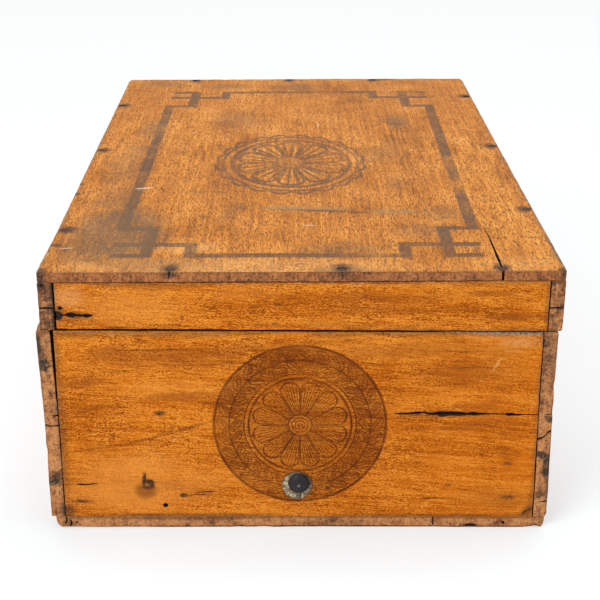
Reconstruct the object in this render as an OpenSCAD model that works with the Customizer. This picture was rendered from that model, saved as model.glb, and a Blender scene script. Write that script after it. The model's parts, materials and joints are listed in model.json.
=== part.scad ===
// Antique advertising box: a nailed wooden box with a shallow framed lid on two iron butt hinges.
// Sizes are in millimetres. +Z is up, -Y is the decorated end and +X is the hinge side.
// The origin is the centre of the underside of the bottom board.

/* [Box] */
// Outside width across the decorated end
box_w = 286; // [220:1:360]
// Outside length along the hinge side
box_d = 476; // [360:1:600]
// Height from the floor to the top of the body's walls
body_h = 122.5; // [90:0.5:180]
// Height of the lid, from the underside of its rails to the top of its top board
lid_h = 34.9; // [32:0.1:60]
// Gap between the body's walls and the lid's rails, held open by the hinges
seam_gap = 0.8; // [0.4:0.1:1.6]
// How far the lid sits towards the hinge side of the body
lid_shift = 2; // [0:0.5:4]

/* [Boards] */
// Thickness of the two side walls
wall_t = 8; // [6:0.5:12]
// Thickness of the front and back boards
end_t = 8; // [6:0.5:12]
// Thickness of the four lid rails
rail_t = 8; // [6:0.5:12]
// Thickness of the top board
top_t = 6.4; // [5:0.1:10]
// Thickness of the bottom board
bottom_t = 6.4; // [5:0.1:10]
// Shrinkage gap between each end board or cross rail and the wall on the left
left_gap = 0.8; // [0.2:0.1:1.5]
// Shrinkage gap between each end board or cross rail and the wall on the right
right_gap = 0.4; // [0.2:0.1:1.5]

/* [Splits] */
// Length of the split in the top board, from its front edge
top_split_len = 78; // [20:1:140]
// Width of the split in the top board, at its front edge
top_split_w = 2.2; // [0.6:0.1:4]
// Height of the open check in the front board, above the floor
check_z = 72.4; // [40:0.1:80]
// Distance of the check's widest place from the middle of the front board
check_x = 82; // [0:1:90]
// Length of the check from its widest place towards the left wall
check_left = 27; // [8:1:60]
// Length of the check from its widest place towards the right wall
check_right = 44; // [8:1:60]
// Greatest width of the check
check_w = 3.4; // [0.6:0.1:6]
// Depth of the check
check_depth = 3; // [0.5:0.1:5]

/* [Nails] */
// Diameter of a nail's shank
nail_d = 2; // [1.2:0.1:2.6]
// Diameter of a nail's head
nail_head_d = 5; // [3:0.1:6]
// Thickness of a nail's head
nail_head_t = 1; // [0.5:0.1:2]
// How deep a nail holds in the board behind the one that it fastens
nail_hold = 13; // [8:0.5:14]
// Nails in each corner of the body
corner_nails = 3; // [2:1:5]
// Nails in each corner of the lid
lid_corner_nails_each = 1; // [1:1:2]

/* [Hinges] */
// Length of a hinge
hinge_len = 50; // [36:1:70]
// Distance from the end of the box to the middle of the nearer hinge
hinge_inset = 88; // [50:1:110]
// Thickness of a hinge leaf
leaf_t = 1.2; // [1:0.1:1.6]
// Wood left beside a leaf, along the inner side of the edge that it is let into
leaf_margin = 1; // [0.5:0.1:1.5]
// Outside diameter of the knuckles
knuckle_d = 5.2; // [4.6:0.1:7]
// Knuckles in a hinge, an odd number
knuckle_count = 5; // [3:2:7]
// Diameter of the hinge pin
pin_d = 2.4; // [1.6:0.1:2.8]
// Screws in each leaf
leaf_screws = 3; // [2:1:4]
// Diameter of a hinge screw's shank
screw_d = 2.2; // [1.6:0.1:2.6]
// Diameter of a hinge screw's head
screw_head_d = 4.2; // [3.4:0.1:4.6]
// Length of a hinge screw
screw_len = 10; // [7:0.5:11]

/* [Stud] */
// Height of the stud above the floor
stud_z = 29.3; // [20:0.1:60]
// Diameter of the stud's domed head
stud_head_d = 12.4; // [9:0.1:16]
// Height of the stud's dome above its washer
stud_head_h = 3; // [2:0.1:4]
// Diameter of the stud's washer
stud_washer_d = 17.6; // [14:0.1:24]
// Thickness of the stud's washer
stud_washer_t = 0.9; // [0.8:0.1:3]
// How far the washer hangs below the stud's axis
stud_washer_drop = 1.5; // [0:0.1:1.5]
// How far the washer sits to the left of the stud's axis
stud_washer_side = 0.9; // [0:0.1:1]
// Diameter of the stud's shank
stud_d = 5; // [4:0.1:7]
// Side of the square nut inside the box
stud_nut_w = 11; // [9:0.1:14]
// Thickness of the square nut
stud_nut_t = 5; // [3:0.1:7]

/* [Hidden] */
$fn = 48;
// Running clearance on a radius where one round piece sits in another
fit_gap = 0.05;
// Clearance between the two leaves of a closed hinge, and between neighbouring knuckles
leaf_gap = 0.2;
// Clearance round a part that turns past another
swing_gap = 0.3;
// Extra length on a cutting tool, so that it passes clean through a face
over = 1;
// Shares of the edge's length at which the nails of the top board are driven
left_nail_shares = [0.15, 0.52, 0.80];
right_nail_shares = [0.23, 0.54, 0.86];
front_nail_shares = [0.25, 0.575, 0.88];
back_nail_shares = [0.20, 0.48, 0.73];
// Shares of the edge's length at which the nails of the bottom board are driven
bottom_side_shares = [0.08, 0.29, 0.50, 0.71, 0.92];
bottom_end_shares = [0.14, 0.38, 0.62, 0.86];

nail_tip = 3;
nail_sunk = 0.2;
screw_tip = 2.5;
screw_slot_w = 0.7;
screw_slot_depth = 0.5;
stud_tail = 1;

half_w = box_w / 2;
half_d = box_d / 2;
lid_z = body_h + seam_gap;
total_h = lid_z + lid_h;
rail_top = total_h - top_t;

// The hinge axis lies along Y, just outside the lid's face and half way up the seam.
body_face_x = half_w;
lid_face_x = half_w + lid_shift;
axis_x = lid_face_x + knuckle_d / 2 + swing_gap;
axis_z = body_h + seam_gap / 2;
hinge_y = half_d - hinge_inset;
body_leaf_in = wall_t - leaf_margin;
lid_leaf_in = rail_t - leaf_margin;
body_leaf_reach = axis_x - body_face_x + body_leaf_in;
lid_leaf_reach = axis_x - lid_face_x + lid_leaf_in;
knuckle_pitch = hinge_len / knuckle_count;
leaf_set = leaf_t + leaf_gap / 2 - seam_gap / 2;
// The washer's hole is as wide as its drop and its shift need, so that its edge rests on the shank.
stud_washer_bore = stud_d + 2 * (fit_gap + norm([stud_washer_side, stud_washer_drop]));

brown_wood = "#b8702c";
pale_wood = "#c58a4a";
dark_iron = "#3a332f";
rusty_iron = "#4b3a30";
tinned_iron = "#a79c86";

// A board given by its lowest and highest corners
module board(low, high) {
    translate(low) cube(high - low);
}

// A nail driven down from z = 0, through a board of the given thickness
module nail(through) {
    length = through + nail_hold;
    translate([0, 0, -nail_sunk]) {
        translate([0, 0, -nail_head_t]) cylinder(h = nail_head_t, d = nail_head_d);
        translate([0, 0, nail_tip - length]) cylinder(h = length - nail_tip, d = nail_d);
        translate([0, 0, -length]) cylinder(h = nail_tip, d1 = nail_d / 4, d2 = nail_d);
    }
}

// The room that a nail takes in the boards
module nail_hole(through) {
    length = through + nail_hold + nail_sunk + fit_gap;
    sink = nail_head_t + nail_sunk;
    translate([0, 0, -sink]) cylinder(h = sink + over, d = nail_head_d + 2 * fit_gap);
    translate([0, 0, -length]) cylinder(h = length, d = nail_d + 2 * fit_gap);
}

// A countersunk wood screw driven down, with the top of its head at z = 0
module wood_screw() {
    head_h = (screw_head_d - screw_d) / 2;
    difference() {
        union() {
            translate([0, 0, -head_h]) cylinder(h = head_h, d1 = screw_d, d2 = screw_head_d);
            translate([0, 0, screw_tip - screw_len]) cylinder(h = screw_len - screw_tip, d = screw_d);
            translate([0, 0, -screw_len]) cylinder(h = screw_tip, d1 = screw_d / 4, d2 = screw_d);
        }
        translate([-screw_head_d, -screw_slot_w / 2, -screw_slot_depth])
            cube([2 * screw_head_d, screw_slot_w, screw_slot_depth + over]);
    }
}

// The room that a hinge screw takes in the leaf and in the wood
module screw_hole() {
    head_h = (screw_head_d - screw_d) / 2;
    wide = 2 * fit_gap;
    translate([0, 0, -head_h]) cylinder(h = head_h, d1 = screw_d + wide, d2 = screw_head_d + wide);
    translate([0, 0, -fit_gap]) cylinder(h = over, d = screw_head_d + wide);
    translate([0, 0, -screw_len - fit_gap]) cylinder(h = screw_len, d = screw_d + wide);
}

// Places its children at the nails of the top board, one edge at a time, pointing down
module at_left_top_nails() {
    for (share = left_nail_shares)
        translate([lid_shift - half_w + rail_t / 2, share * box_d - half_d, total_h]) children();
}

module at_right_top_nails() {
    for (share = right_nail_shares)
        translate([lid_shift + half_w - rail_t / 2, share * box_d - half_d, total_h]) children();
}

module at_front_top_nails() {
    for (share = front_nail_shares)
        translate([lid_shift + share * box_w - half_w, rail_t / 2 - half_d, total_h]) children();
}

module at_back_top_nails() {
    for (share = back_nail_shares)
        translate([lid_shift + share * box_w - half_w, half_d - rail_t / 2, total_h]) children();
}

// Places its children at the nails under the walls on one side, or under one end, pointing up
module at_bottom_side_nails(side) {
    for (share = bottom_side_shares)
        translate([side * (half_w - wall_t / 2), share * box_d - half_d, 0]) rotate([180, 0, 0]) children();
}

module at_bottom_end_nails(end) {
    for (share = bottom_end_shares)
        translate([share * box_w - half_w, end * (half_d - end_t / 2), 0]) rotate([180, 0, 0]) children();
}

// Places its children at the corner nails of one side of the body, driven inwards through the wall
module at_body_corner_nails(side) {
    rise = (body_h - bottom_t) / corner_nails;
    for (end = [-1, 1], i = [0 : corner_nails - 1])
        translate([side * half_w, end * (half_d - end_t / 2), bottom_t + (i + 0.5) * rise])
            rotate([0, side * 90, 0]) children();
}

// Places its children at the corner nails of one side of the lid, driven inwards through the rail
module at_lid_corner_nails(side) {
    rise = (rail_top - lid_z) / lid_corner_nails_each;
    for (end = [-1, 1], i = [0 : lid_corner_nails_each - 1])
        translate([lid_shift + side * half_w, end * (half_d - rail_t / 2), lid_z + (i + 0.5) * rise])
            rotate([0, side * 90, 0]) children();
}

// Places its children at the screws of one hinge, in the body's leaf or in the lid's leaf
module at_leaf_screws(x, y) {
    pitch = hinge_len / leaf_screws;
    for (i = [0 : leaf_screws - 1])
        translate([x, y - hinge_len / 2 + (i + 0.5) * pitch, axis_z]) children();
}

module at_body_leaf_screws(y) {
    at_leaf_screws(body_face_x - body_leaf_in / 2, y) translate([0, 0, -leaf_gap / 2]) children();
}

module at_lid_leaf_screws(y) {
    at_leaf_screws(lid_face_x - lid_leaf_in / 2, y)
        translate([0, 0, leaf_gap / 2]) rotate([180, 0, 0]) children();
}

// The recesses that let the leaves of both hinges into an edge, from the given face and height
module leaf_recesses(face_x, leaf_in, z) {
    for (y = [-hinge_y, hinge_y])
        translate([face_x - leaf_in - fit_gap, y - hinge_len / 2 - fit_gap, z])
            cube([leaf_in + fit_gap + over, hinge_len + 2 * fit_gap, leaf_set + over]);
}

// A bar along Y, centred on the hinge axis, over one knuckle's share of the hinge
module knuckle_bar(i, d, gap) {
    translate([0, i * knuckle_pitch - hinge_len / 2 + gap / 2, 0])
        rotate([-90, 0, 0]) cylinder(h = knuckle_pitch - gap, d = d);
}

// A hinge leaf about its own axis, lying to -X and just under it; first is 0 or 1, its first knuckle
module hinge_leaf(reach, first) {
    difference() {
        union() {
            translate([-reach, -hinge_len / 2, -leaf_gap / 2 - leaf_t]) cube([reach, hinge_len, leaf_t]);
            for (i = [first : 2 : knuckle_count - 1]) knuckle_bar(i, knuckle_d, leaf_gap);
        }
        for (i = [1 - first : 2 : knuckle_count - 1]) knuckle_bar(i, knuckle_d + 2 * swing_gap, -leaf_gap);
        translate([0, -hinge_len, 0]) rotate([-90, 0, 0])
            cylinder(h = 2 * hinge_len, d = pin_d + 2 * fit_gap);
    }
}

module body_leaf(y) {
    color(rusty_iron) difference() {
        translate([axis_x, y, axis_z]) hinge_leaf(body_leaf_reach, 0);
        at_body_leaf_screws(y) screw_hole();
    }
}

module lid_leaf(y) {
    color(rusty_iron) difference() {
        translate([axis_x, y, axis_z]) mirror([0, 0, 1]) hinge_leaf(lid_leaf_reach, 1);
        at_lid_leaf_screws(y) screw_hole();
    }
}

module hinge_pin(y) {
    color(dark_iron) translate([axis_x, y - hinge_len / 2, axis_z])
        rotate([-90, 0, 0]) cylinder(h = hinge_len, d = pin_d);
}

module bottom_board() {
    color(pale_wood) difference() {
        board([-half_w, -half_d, 0], [half_w, half_d, bottom_t]);
        for (side = [-1, 1]) at_bottom_side_nails(side) nail_hole(bottom_t);
        for (end = [-1, 1]) at_bottom_end_nails(end) nail_hole(bottom_t);
    }
}

module left_wall() {
    color(brown_wood) difference() {
        board([-half_w, -half_d, bottom_t], [wall_t - half_w, half_d, body_h]);
        at_bottom_side_nails(-1) nail_hole(bottom_t);
        at_body_corner_nails(-1) nail_hole(wall_t);
    }
}

module right_wall() {
    color(brown_wood) difference() {
        board([half_w - wall_t, -half_d, bottom_t], [half_w, half_d, body_h]);
        at_bottom_side_nails(1) nail_hole(bottom_t);
        at_body_corner_nails(1) nail_hole(wall_t);
        leaf_recesses(body_face_x, body_leaf_in, body_h - leaf_set);
        for (y = [-hinge_y, hinge_y]) at_body_leaf_screws(y) screw_hole();
    }
}

// One end board between the walls; end is -1 at the front and 1 at the back
module end_board(end) {
    near = end < 0 ? -half_d : half_d - end_t;
    low_x = wall_t + left_gap - half_w;
    high_x = half_w - wall_t - right_gap;
    difference() {
        board([low_x, near, bottom_t], [high_x, near + end_t, body_h]);
        at_bottom_end_nails(end) nail_hole(bottom_t);
        for (side = [-1, 1]) at_body_corner_nails(side) nail_hole(wall_t);
    }
}

// The open check in the front board: a slit that is widest at one place and tapers to both ends
module front_check() {
    translate([check_x, check_depth - half_d, check_z]) rotate([90, 0, 0])
        linear_extrude(check_depth + over)
            polygon([[-check_left, 0], [0, check_w / 2], [check_right, 0], [0, -check_w / 2]]);
}

module front_board() {
    color(brown_wood) difference() {
        end_board(-1);
        front_check();
        translate([0, -half_d - over, stud_z]) rotate([-90, 0, 0])
            cylinder(h = end_t + 2 * over, d = stud_d + 2 * fit_gap);
    }
}

module back_board() {
    color(brown_wood) end_board(1);
}

module body_corner_nails() {
    color(rusty_iron) for (side = [-1, 1]) at_body_corner_nails(side) nail(wall_t);
}

module bottom_nails() {
    color(rusty_iron) {
        for (side = [-1, 1]) at_bottom_side_nails(side) nail(bottom_t);
        for (end = [-1, 1]) at_bottom_end_nails(end) nail(bottom_t);
    }
}

module body_hinge_screws() {
    color(dark_iron) for (y = [-hinge_y, hinge_y]) at_body_leaf_screws(y) wood_screw();
}

// Places its children on the stud's axis, pointing out of the front board's outer face
module at_stud() {
    translate([0, -half_d, stud_z]) rotate([90, 0, 0]) children();
}

module stud_bolt() {
    dome_r = (pow(stud_head_d / 2, 2) + pow(stud_head_h, 2)) / (2 * stud_head_h);
    shank = end_t + stud_nut_t + stud_tail;
    color(dark_iron) at_stud() {
        translate([0, 0, stud_washer_t]) intersection() {
            translate([0, 0, stud_head_h - dome_r]) sphere(r = dome_r);
            cylinder(h = 2 * dome_r, d = 2 * stud_head_d);
        }
        translate([0, 0, -shank]) cylinder(h = shank + stud_washer_t, d = stud_d);
    }
}

module stud_washer() {
    color(tinned_iron) at_stud() translate([-stud_washer_side, -stud_washer_drop, 0]) difference() {
        cylinder(h = stud_washer_t, d1 = stud_washer_d, d2 = stud_washer_d - stud_washer_t);
        translate([0, 0, -over]) cylinder(h = stud_washer_t + 2 * over, d = stud_washer_bore);
    }
}

module stud_nut() {
    color(dark_iron) at_stud() difference() {
        translate([-stud_nut_w / 2, -stud_nut_w / 2, -end_t - stud_nut_t])
            cube([stud_nut_w, stud_nut_w, stud_nut_t]);
        translate([0, 0, -end_t - stud_nut_t - over])
            cylinder(h = stud_nut_t + 2 * over, d = stud_d + 2 * fit_gap);
    }
}

// The wedge-shaped split that runs back along the grain from the front nail nearest the hinges
module top_split() {
    split_x = lid_shift + front_nail_shares[2] * box_w - half_w;
    translate([split_x, -half_d, rail_top - over]) linear_extrude(top_t + 2 * over)
        polygon([[-top_split_w / 2, -over], [top_split_w / 2, -over], [0, top_split_len]]);
}

module lid_top() {
    color(pale_wood) difference() {
        board([lid_shift - half_w, -half_d, rail_top], [lid_shift + half_w, half_d, total_h]);
        at_left_top_nails() nail_hole(top_t);
        at_right_top_nails() nail_hole(top_t);
        at_front_top_nails() nail_hole(top_t);
        at_back_top_nails() nail_hole(top_t);
        top_split();
    }
}

// The left rail comes down to the body, so that the closed lid rests on the left wall.
module lid_left_rail() {
    color(brown_wood) difference() {
        board([lid_shift - half_w, -half_d, body_h], [lid_shift - half_w + rail_t, half_d, rail_top]);
        at_left_top_nails() nail_hole(top_t);
        at_lid_corner_nails(-1) nail_hole(rail_t);
    }
}

module lid_right_rail() {
    color(brown_wood) difference() {
        board([lid_shift + half_w - rail_t, -half_d, lid_z], [lid_shift + half_w, half_d, rail_top]);
        at_right_top_nails() nail_hole(top_t);
        at_lid_corner_nails(1) nail_hole(rail_t);
        leaf_recesses(lid_face_x, lid_leaf_in, lid_z - over);
        for (y = [-hinge_y, hinge_y]) at_lid_leaf_screws(y) screw_hole();
    }
}

// One cross rail between the side rails of the lid; end is -1 at the front and 1 at the back
module cross_rail(end) {
    near = end < 0 ? -half_d : half_d - rail_t;
    low_x = lid_shift - half_w + rail_t + left_gap;
    high_x = lid_shift + half_w - rail_t - right_gap;
    difference() {
        board([low_x, near, lid_z], [high_x, near + rail_t, rail_top]);
        for (side = [-1, 1]) at_lid_corner_nails(side) nail_hole(rail_t);
        if (end < 0) at_front_top_nails() nail_hole(top_t);
        else at_back_top_nails() nail_hole(top_t);
    }
}

module lid_front_rail() {
    color(brown_wood) cross_rail(-1);
}

module lid_back_rail() {
    color(brown_wood) cross_rail(1);
}

module lid_top_nails() {
    color(rusty_iron) {
        at_left_top_nails() nail(top_t);
        at_right_top_nails() nail(top_t);
        at_front_top_nails() nail(top_t);
        at_back_top_nails() nail(top_t);
    }
}

module lid_corner_nails() {
    color(rusty_iron) for (side = [-1, 1]) at_lid_corner_nails(side) nail(rail_t);
}

module lid_hinge_screws() {
    color(dark_iron) for (y = [-hinge_y, hinge_y]) at_lid_leaf_screws(y) wood_screw();
}

bottom_board();
left_wall();
right_wall();
front_board();
back_board();
body_corner_nails();
bottom_nails();
body_leaf(-hinge_y);  // front_hinge_body_leaf
body_leaf(hinge_y);  // rear_hinge_body_leaf
hinge_pin(-hinge_y);  // front_hinge_pin
hinge_pin(hinge_y);  // rear_hinge_pin
body_hinge_screws();
stud_bolt();
stud_washer();
stud_nut();
lid_top();
lid_left_rail();
lid_right_rail();
lid_front_rail();
lid_back_rail();
lid_top_nails();
lid_corner_nails();
lid_leaf(-hinge_y);  // front_hinge_lid_leaf
lid_leaf(hinge_y);  // rear_hinge_lid_leaf
lid_hinge_screws();
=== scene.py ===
import json
import math
import random

import bmesh
import bpy
from mathutils import Matrix, Vector

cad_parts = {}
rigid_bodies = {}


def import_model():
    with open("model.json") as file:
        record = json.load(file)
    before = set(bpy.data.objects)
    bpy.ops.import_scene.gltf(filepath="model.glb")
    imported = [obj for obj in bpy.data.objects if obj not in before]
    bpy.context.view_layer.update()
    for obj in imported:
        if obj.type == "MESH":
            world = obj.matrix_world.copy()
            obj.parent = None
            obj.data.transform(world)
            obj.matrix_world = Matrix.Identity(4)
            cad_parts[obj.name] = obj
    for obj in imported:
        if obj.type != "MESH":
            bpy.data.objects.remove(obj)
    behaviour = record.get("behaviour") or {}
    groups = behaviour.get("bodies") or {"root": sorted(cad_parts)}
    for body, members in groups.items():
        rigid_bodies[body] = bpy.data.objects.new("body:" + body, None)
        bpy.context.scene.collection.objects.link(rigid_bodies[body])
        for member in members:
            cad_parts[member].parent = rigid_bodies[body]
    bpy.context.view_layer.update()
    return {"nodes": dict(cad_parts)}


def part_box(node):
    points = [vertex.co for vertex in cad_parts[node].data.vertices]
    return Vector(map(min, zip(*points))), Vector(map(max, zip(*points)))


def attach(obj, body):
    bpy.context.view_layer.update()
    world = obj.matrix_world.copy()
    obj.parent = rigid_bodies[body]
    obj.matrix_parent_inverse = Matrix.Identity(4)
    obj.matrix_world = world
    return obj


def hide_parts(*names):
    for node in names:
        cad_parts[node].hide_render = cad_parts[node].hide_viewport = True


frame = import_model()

mm = 0.001
ways = [Vector(way) for way in ((1, 0, 0), (0, 1, 0), (0, 0, 1))]
xWay, yWay, zWay = ways
crackDraw = random.Random(11)
nailDraw = random.Random(23)
chipDraw = random.Random(5)
for leftover in [o for o in bpy.data.objects if o.name in ("Cube", "Light", "Camera")]:
    bpy.data.objects.remove(leftover)
print("frame loaded:", len(frame["nodes"]), "nodes")


# selection, simple shapes, modifiers, and what every finished piece gets
def selectOnly(*pieces):
    bpy.ops.object.select_all(action="DESELECT")
    for piece in pieces:
        piece.select_set(True)
        bpy.context.view_layer.objects.active = piece


def placeInMesh(piece):
    selectOnly(piece)
    bpy.ops.object.transform_apply(location=True, rotation=True, scale=True)


def applyModifier(piece, modifier):
    selectOnly(piece)
    bpy.ops.object.modifier_apply(modifier=modifier.name)


def joinPieces(pieces):
    selectOnly(*pieces)
    if len(pieces) > 1:
        bpy.ops.object.join()
    return bpy.context.object


def addShape(maker, **settings):
    bpy.ops.object.select_all(action="DESELECT")
    maker(**settings)
    return bpy.context.object


def addBox(low, high):
    box = addShape(bpy.ops.mesh.primitive_cube_add, size=1, location=(low + high) / 2)
    box.scale = high - low
    placeInMesh(box)
    return box


def finishPiece(piece, name, body, node, angle):
    piece.name = name
    piece.data.name = name
    selectOnly(piece)
    bpy.ops.object.shade_smooth_by_angle(angle=math.radians(angle))
    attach(piece, body)
    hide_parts(node)


def selectParts(piece, kind, wanted):  # edges or faces, in edit mode
    bpy.ops.mesh.select_mode(type=kind)
    bpy.ops.mesh.select_all(action="DESELECT")
    editMesh = bmesh.from_edit_mesh(piece.data)
    for part in editMesh.edges if kind == "EDGE" else editMesh.faces:
        part.select_set(wanted(part))
    bmesh.update_edit_mesh(piece.data)


def smoothStep(value, low, high):
    share = min(max((value - low) / (high - low), 0), 1)
    return share * share * (3 - 2 * share)


# shader nodes, made in the tree that is on the bench
bench = {"tree": None}


def srgb(red, green, blue):
    linear = []
    for part in (red / 255, green / 255, blue / 255):
        linear.append(part / 12.92 if part <= 0.04045 else ((part + 0.055) / 1.055) ** 2.4)
    return (*linear, 1.0)


def addNode(kind):
    return bench["tree"].nodes.new(kind)


def feed(socket, value):
    if isinstance(value, bpy.types.NodeSocket):
        bench["tree"].links.new(value, socket)
    else:
        socket.default_value = value


def feedRow(node, *values):
    for socket, value in zip(node.inputs, values):
        feed(socket, value)


def feedNamed(node, values):
    for name, value in values.items():
        feed(node.inputs[name], value)


def startTree(owner, outputKind):
    owner.use_nodes = True
    bench["tree"] = owner.node_tree
    bench["tree"].nodes.clear()
    return addNode(outputKind)


def newMaterial(name):
    material = bpy.data.materials.new(name)
    output = startTree(material, "ShaderNodeOutputMaterial")
    shader = addNode("ShaderNodeBsdfPrincipled")
    feedRow(output, shader.outputs[0])
    return material, shader


def calc(operation, *values, clamp=False):
    node = addNode("ShaderNodeMath")
    node.operation = operation
    node.use_clamp = clamp
    feedRow(node, *values)
    return node.outputs[0]


def times(first, second):
    return calc("MULTIPLY", first, second)


def timesPlus(first, second, third):
    return calc("MULTIPLY_ADD", first, second, third)


def minus(first, second, clamp=False):
    return calc("SUBTRACT", first, second, clamp=clamp)


def larger(first, second):
    return calc("MAXIMUM", first, second)


def layered(tone, noise, gain):
    return timesPlus(minus(noise, 0.5), gain, tone)


def vector(operation, *values):
    node = addNode("ShaderNodeVectorMath")
    node.operation = operation
    feedRow(node, *values)
    return node.outputs[1 if operation in ("LENGTH", "DOT_PRODUCT") else 0]


def split(place):
    node = addNode("ShaderNodeSeparateXYZ")
    feedRow(node, place)
    return tuple(node.outputs)


def fade(value, low, high, start=0.0, end=1.0):
    node = addNode("ShaderNodeMapRange")
    node.interpolation_type = "SMOOTHSTEP"
    feedRow(node, value, low, high, start, end)
    return node.outputs[0]


def stretch(place, scale, shift=(0, 0, 0), turn=(0, 0, 0), kind="POINT"):
    node = addNode("ShaderNodeMapping")
    node.vector_type = kind
    feedRow(node, place, shift, [math.radians(angle) for angle in turn], scale)
    return node.outputs[0]


def cloud(place, scale=1.0, detail=2.0, roughness=0.5, colour=False):
    node = addNode("ShaderNodeTexNoise")
    feedNamed(node, {"Vector": place, "Scale": scale, "Detail": detail, "Roughness": roughness})
    return node.outputs[1 if colour else 0]


def ramp(factor, *stops):
    node = addNode("ShaderNodeValToRGB")
    feedRow(node, factor)
    elements = node.color_ramp.elements
    while len(elements) < len(stops):
        elements.new(0.5)
    for element, (position, colour) in zip(elements, stops):
        element.position = position
        element.color = colour
    return node.outputs[0]


def tint(factor, under, over):
    node = addNode("ShaderNodeMix")
    node.data_type = "RGBA"
    feedNamed(node, {0: factor, 6: under, 7: over})  # 6 and 7 are A and B of the colour kind
    return node.outputs[2]


def millimetres():
    return stretch(addNode("ShaderNodeTexCoord").outputs["Object"], (1000, 1000, 1000))


def roughen(place, scale, amount):
    drift = vector("SUBTRACT", cloud(place, scale, 3, 0.6, True), (0.5, 0.5, 0.5))
    return vector("MULTIPLY_ADD", drift, (amount, amount, amount), place)


def surface(shader, colour, roughness, height, strength, depth):
    bump = addNode("ShaderNodeBump")
    feedNamed(bump, {"Strength": strength, "Distance": depth, "Height": height})
    feedNamed(shader, {"Base Color": colour, "Roughness": roughness, "Normal": bump.outputs[0]})


def arrisGap(place, box):  # how far a point on a face is from the nearest arris
    low, high = box
    away = vector("ABSOLUTE", vector("SUBTRACT", place, (low + high) * 500))
    a, b, c = split(vector("SUBTRACT", (high - low) * 500, away))
    return larger(calc("MINIMUM", a, b), calc("MINIMUM", larger(a, b), c))


def smudges(place, marks):
    mask = None
    for mark in marks:
        far = vector("LENGTH", stretch(place, mark["reach"], mark["at"], mark["turn"], "TEXTURE"))
        one = fade(far, mark["core"], 1.0, mark["depth"], 0.0)
        mask = one if mask is None else larger(mask, one)
    return mask


def patchy(place, marks, noise, low, high, least, most):  # spots that a noise breaks up
    return times(smudges(place, marks), fade(noise, low, high, least, most))


def nearArris(gap, noise, gain, inset, reach, depth):  # a ragged band along the arrises
    return fade(timesPlus(noise, gain, minus(gap, inset)), 0.0, reach, depth, 0.0)


def bar(value, low, high, soft):
    away = calc("ABSOLUTE", minus(value, (low + high) / 2))
    half = (high - low) / 2
    return fade(away, half - soft, half + soft, 1.0, 0.0)


def line(value, at, width):
    return bar(value, at - width / 2, at + width / 2, width * 0.35)


# woods: one set of looks for each kind of board
frontLook = {
    "pale": srgb(226, 141, 48), "mid": srgb(203, 107, 12), "deep": srgb(136, 64, 6),
    "pore": srgb(98, 48, 10), "grime": srgb(84, 52, 30), "bare": srgb(206, 148, 92),
    "bandScale": (0.006, 0.05, 0.09), "streakScale": (0.022, 0.4, 0.55),
    "threadScale": (0.08, 1.8, 2.2), "fleckScale": (0.9, 2.1, 2.3), "poreScale": (0.4, 2.0, 2.6),
    "bandGain": 0.75, "streakGain": 0.6, "mottleGain": 0.45, "threadGain": 1.1, "fleckGain": 1.95,
    "poreCut": 0.6, "poreDepth": 0.5, "slope": -4.0, "sheen": 0.48,
    "wave": 7.0, "gloss": 0.05, "worn": 0.3, "soot": 0.4,
}
topLook = {
    "pale": srgb(224, 152, 65), "mid": srgb(195, 120, 38), "deep": srgb(132, 75, 23),
    "pore": srgb(102, 60, 28), "grime": srgb(102, 80, 57), "bare": srgb(214, 162, 106),
    "bandScale": (0.005, 0.03, 0.05), "streakScale": (0.022, 0.4, 0.4),
    "threadScale": (0.03, 0.4, 0.4), "fleckScale": (0.3, 1.4, 1.4), "poreScale": (0.22, 1.3, 1.3),
    "bandGain": 0.5, "streakGain": 0.5, "mottleGain": 0.6, "threadGain": 0.5, "fleckGain": 0.6,
    "poreCut": 0.51, "poreDepth": 0.78, "slope": 0.0, "sheen": 0.58,
    "wave": 6.0, "gloss": 0.1, "worn": 0.6, "soot": 0.5,
}
sideLook = dict(frontLook, slope=1.5)
innerLook = {
    "pale": srgb(204, 164, 116), "mid": srgb(182, 138, 92), "deep": srgb(146, 104, 66),
    "pore": srgb(110, 76, 46), "grime": srgb(96, 72, 52), "bare": srgb(212, 176, 132),
    "bandScale": (0.004, 0.05, 0.07), "streakScale": (0.02, 0.4, 0.5),
    "threadScale": (0.06, 1.4, 1.8), "fleckScale": (0.3, 1.6, 1.9), "poreScale": (0.16, 1.4, 1.8),
    "bandGain": 0.6, "streakGain": 0.4, "mottleGain": 0.6, "threadGain": 0.6, "fleckGain": 0.7,
    "poreCut": 0.56, "poreDepth": 0.45, "slope": 2.0, "sheen": 0.74,
    "wave": 8.0, "gloss": 0.14, "worn": 0.5, "soot": 0.5,
}
endLook = {
    "pale": srgb(195, 132, 79), "mid": srgb(169, 107, 60), "deep": srgb(96, 56, 32),
    "pit": srgb(48, 28, 16), "chalk": srgb(220, 172, 122), "grime": srgb(62, 40, 27),
    "stain": srgb(46, 38, 32), "blotch": 1.15, "mottle": 1.1, "soil": 0.55, "chalky": 0.5,
}
topEndLook = dict(endLook, pale=srgb(190, 124, 70), mid=srgb(168, 101, 53), deep=srgb(104, 58, 31),
                  blotch=0.55, mottle=0.6, soil=0.3, chalky=0.2)


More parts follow.
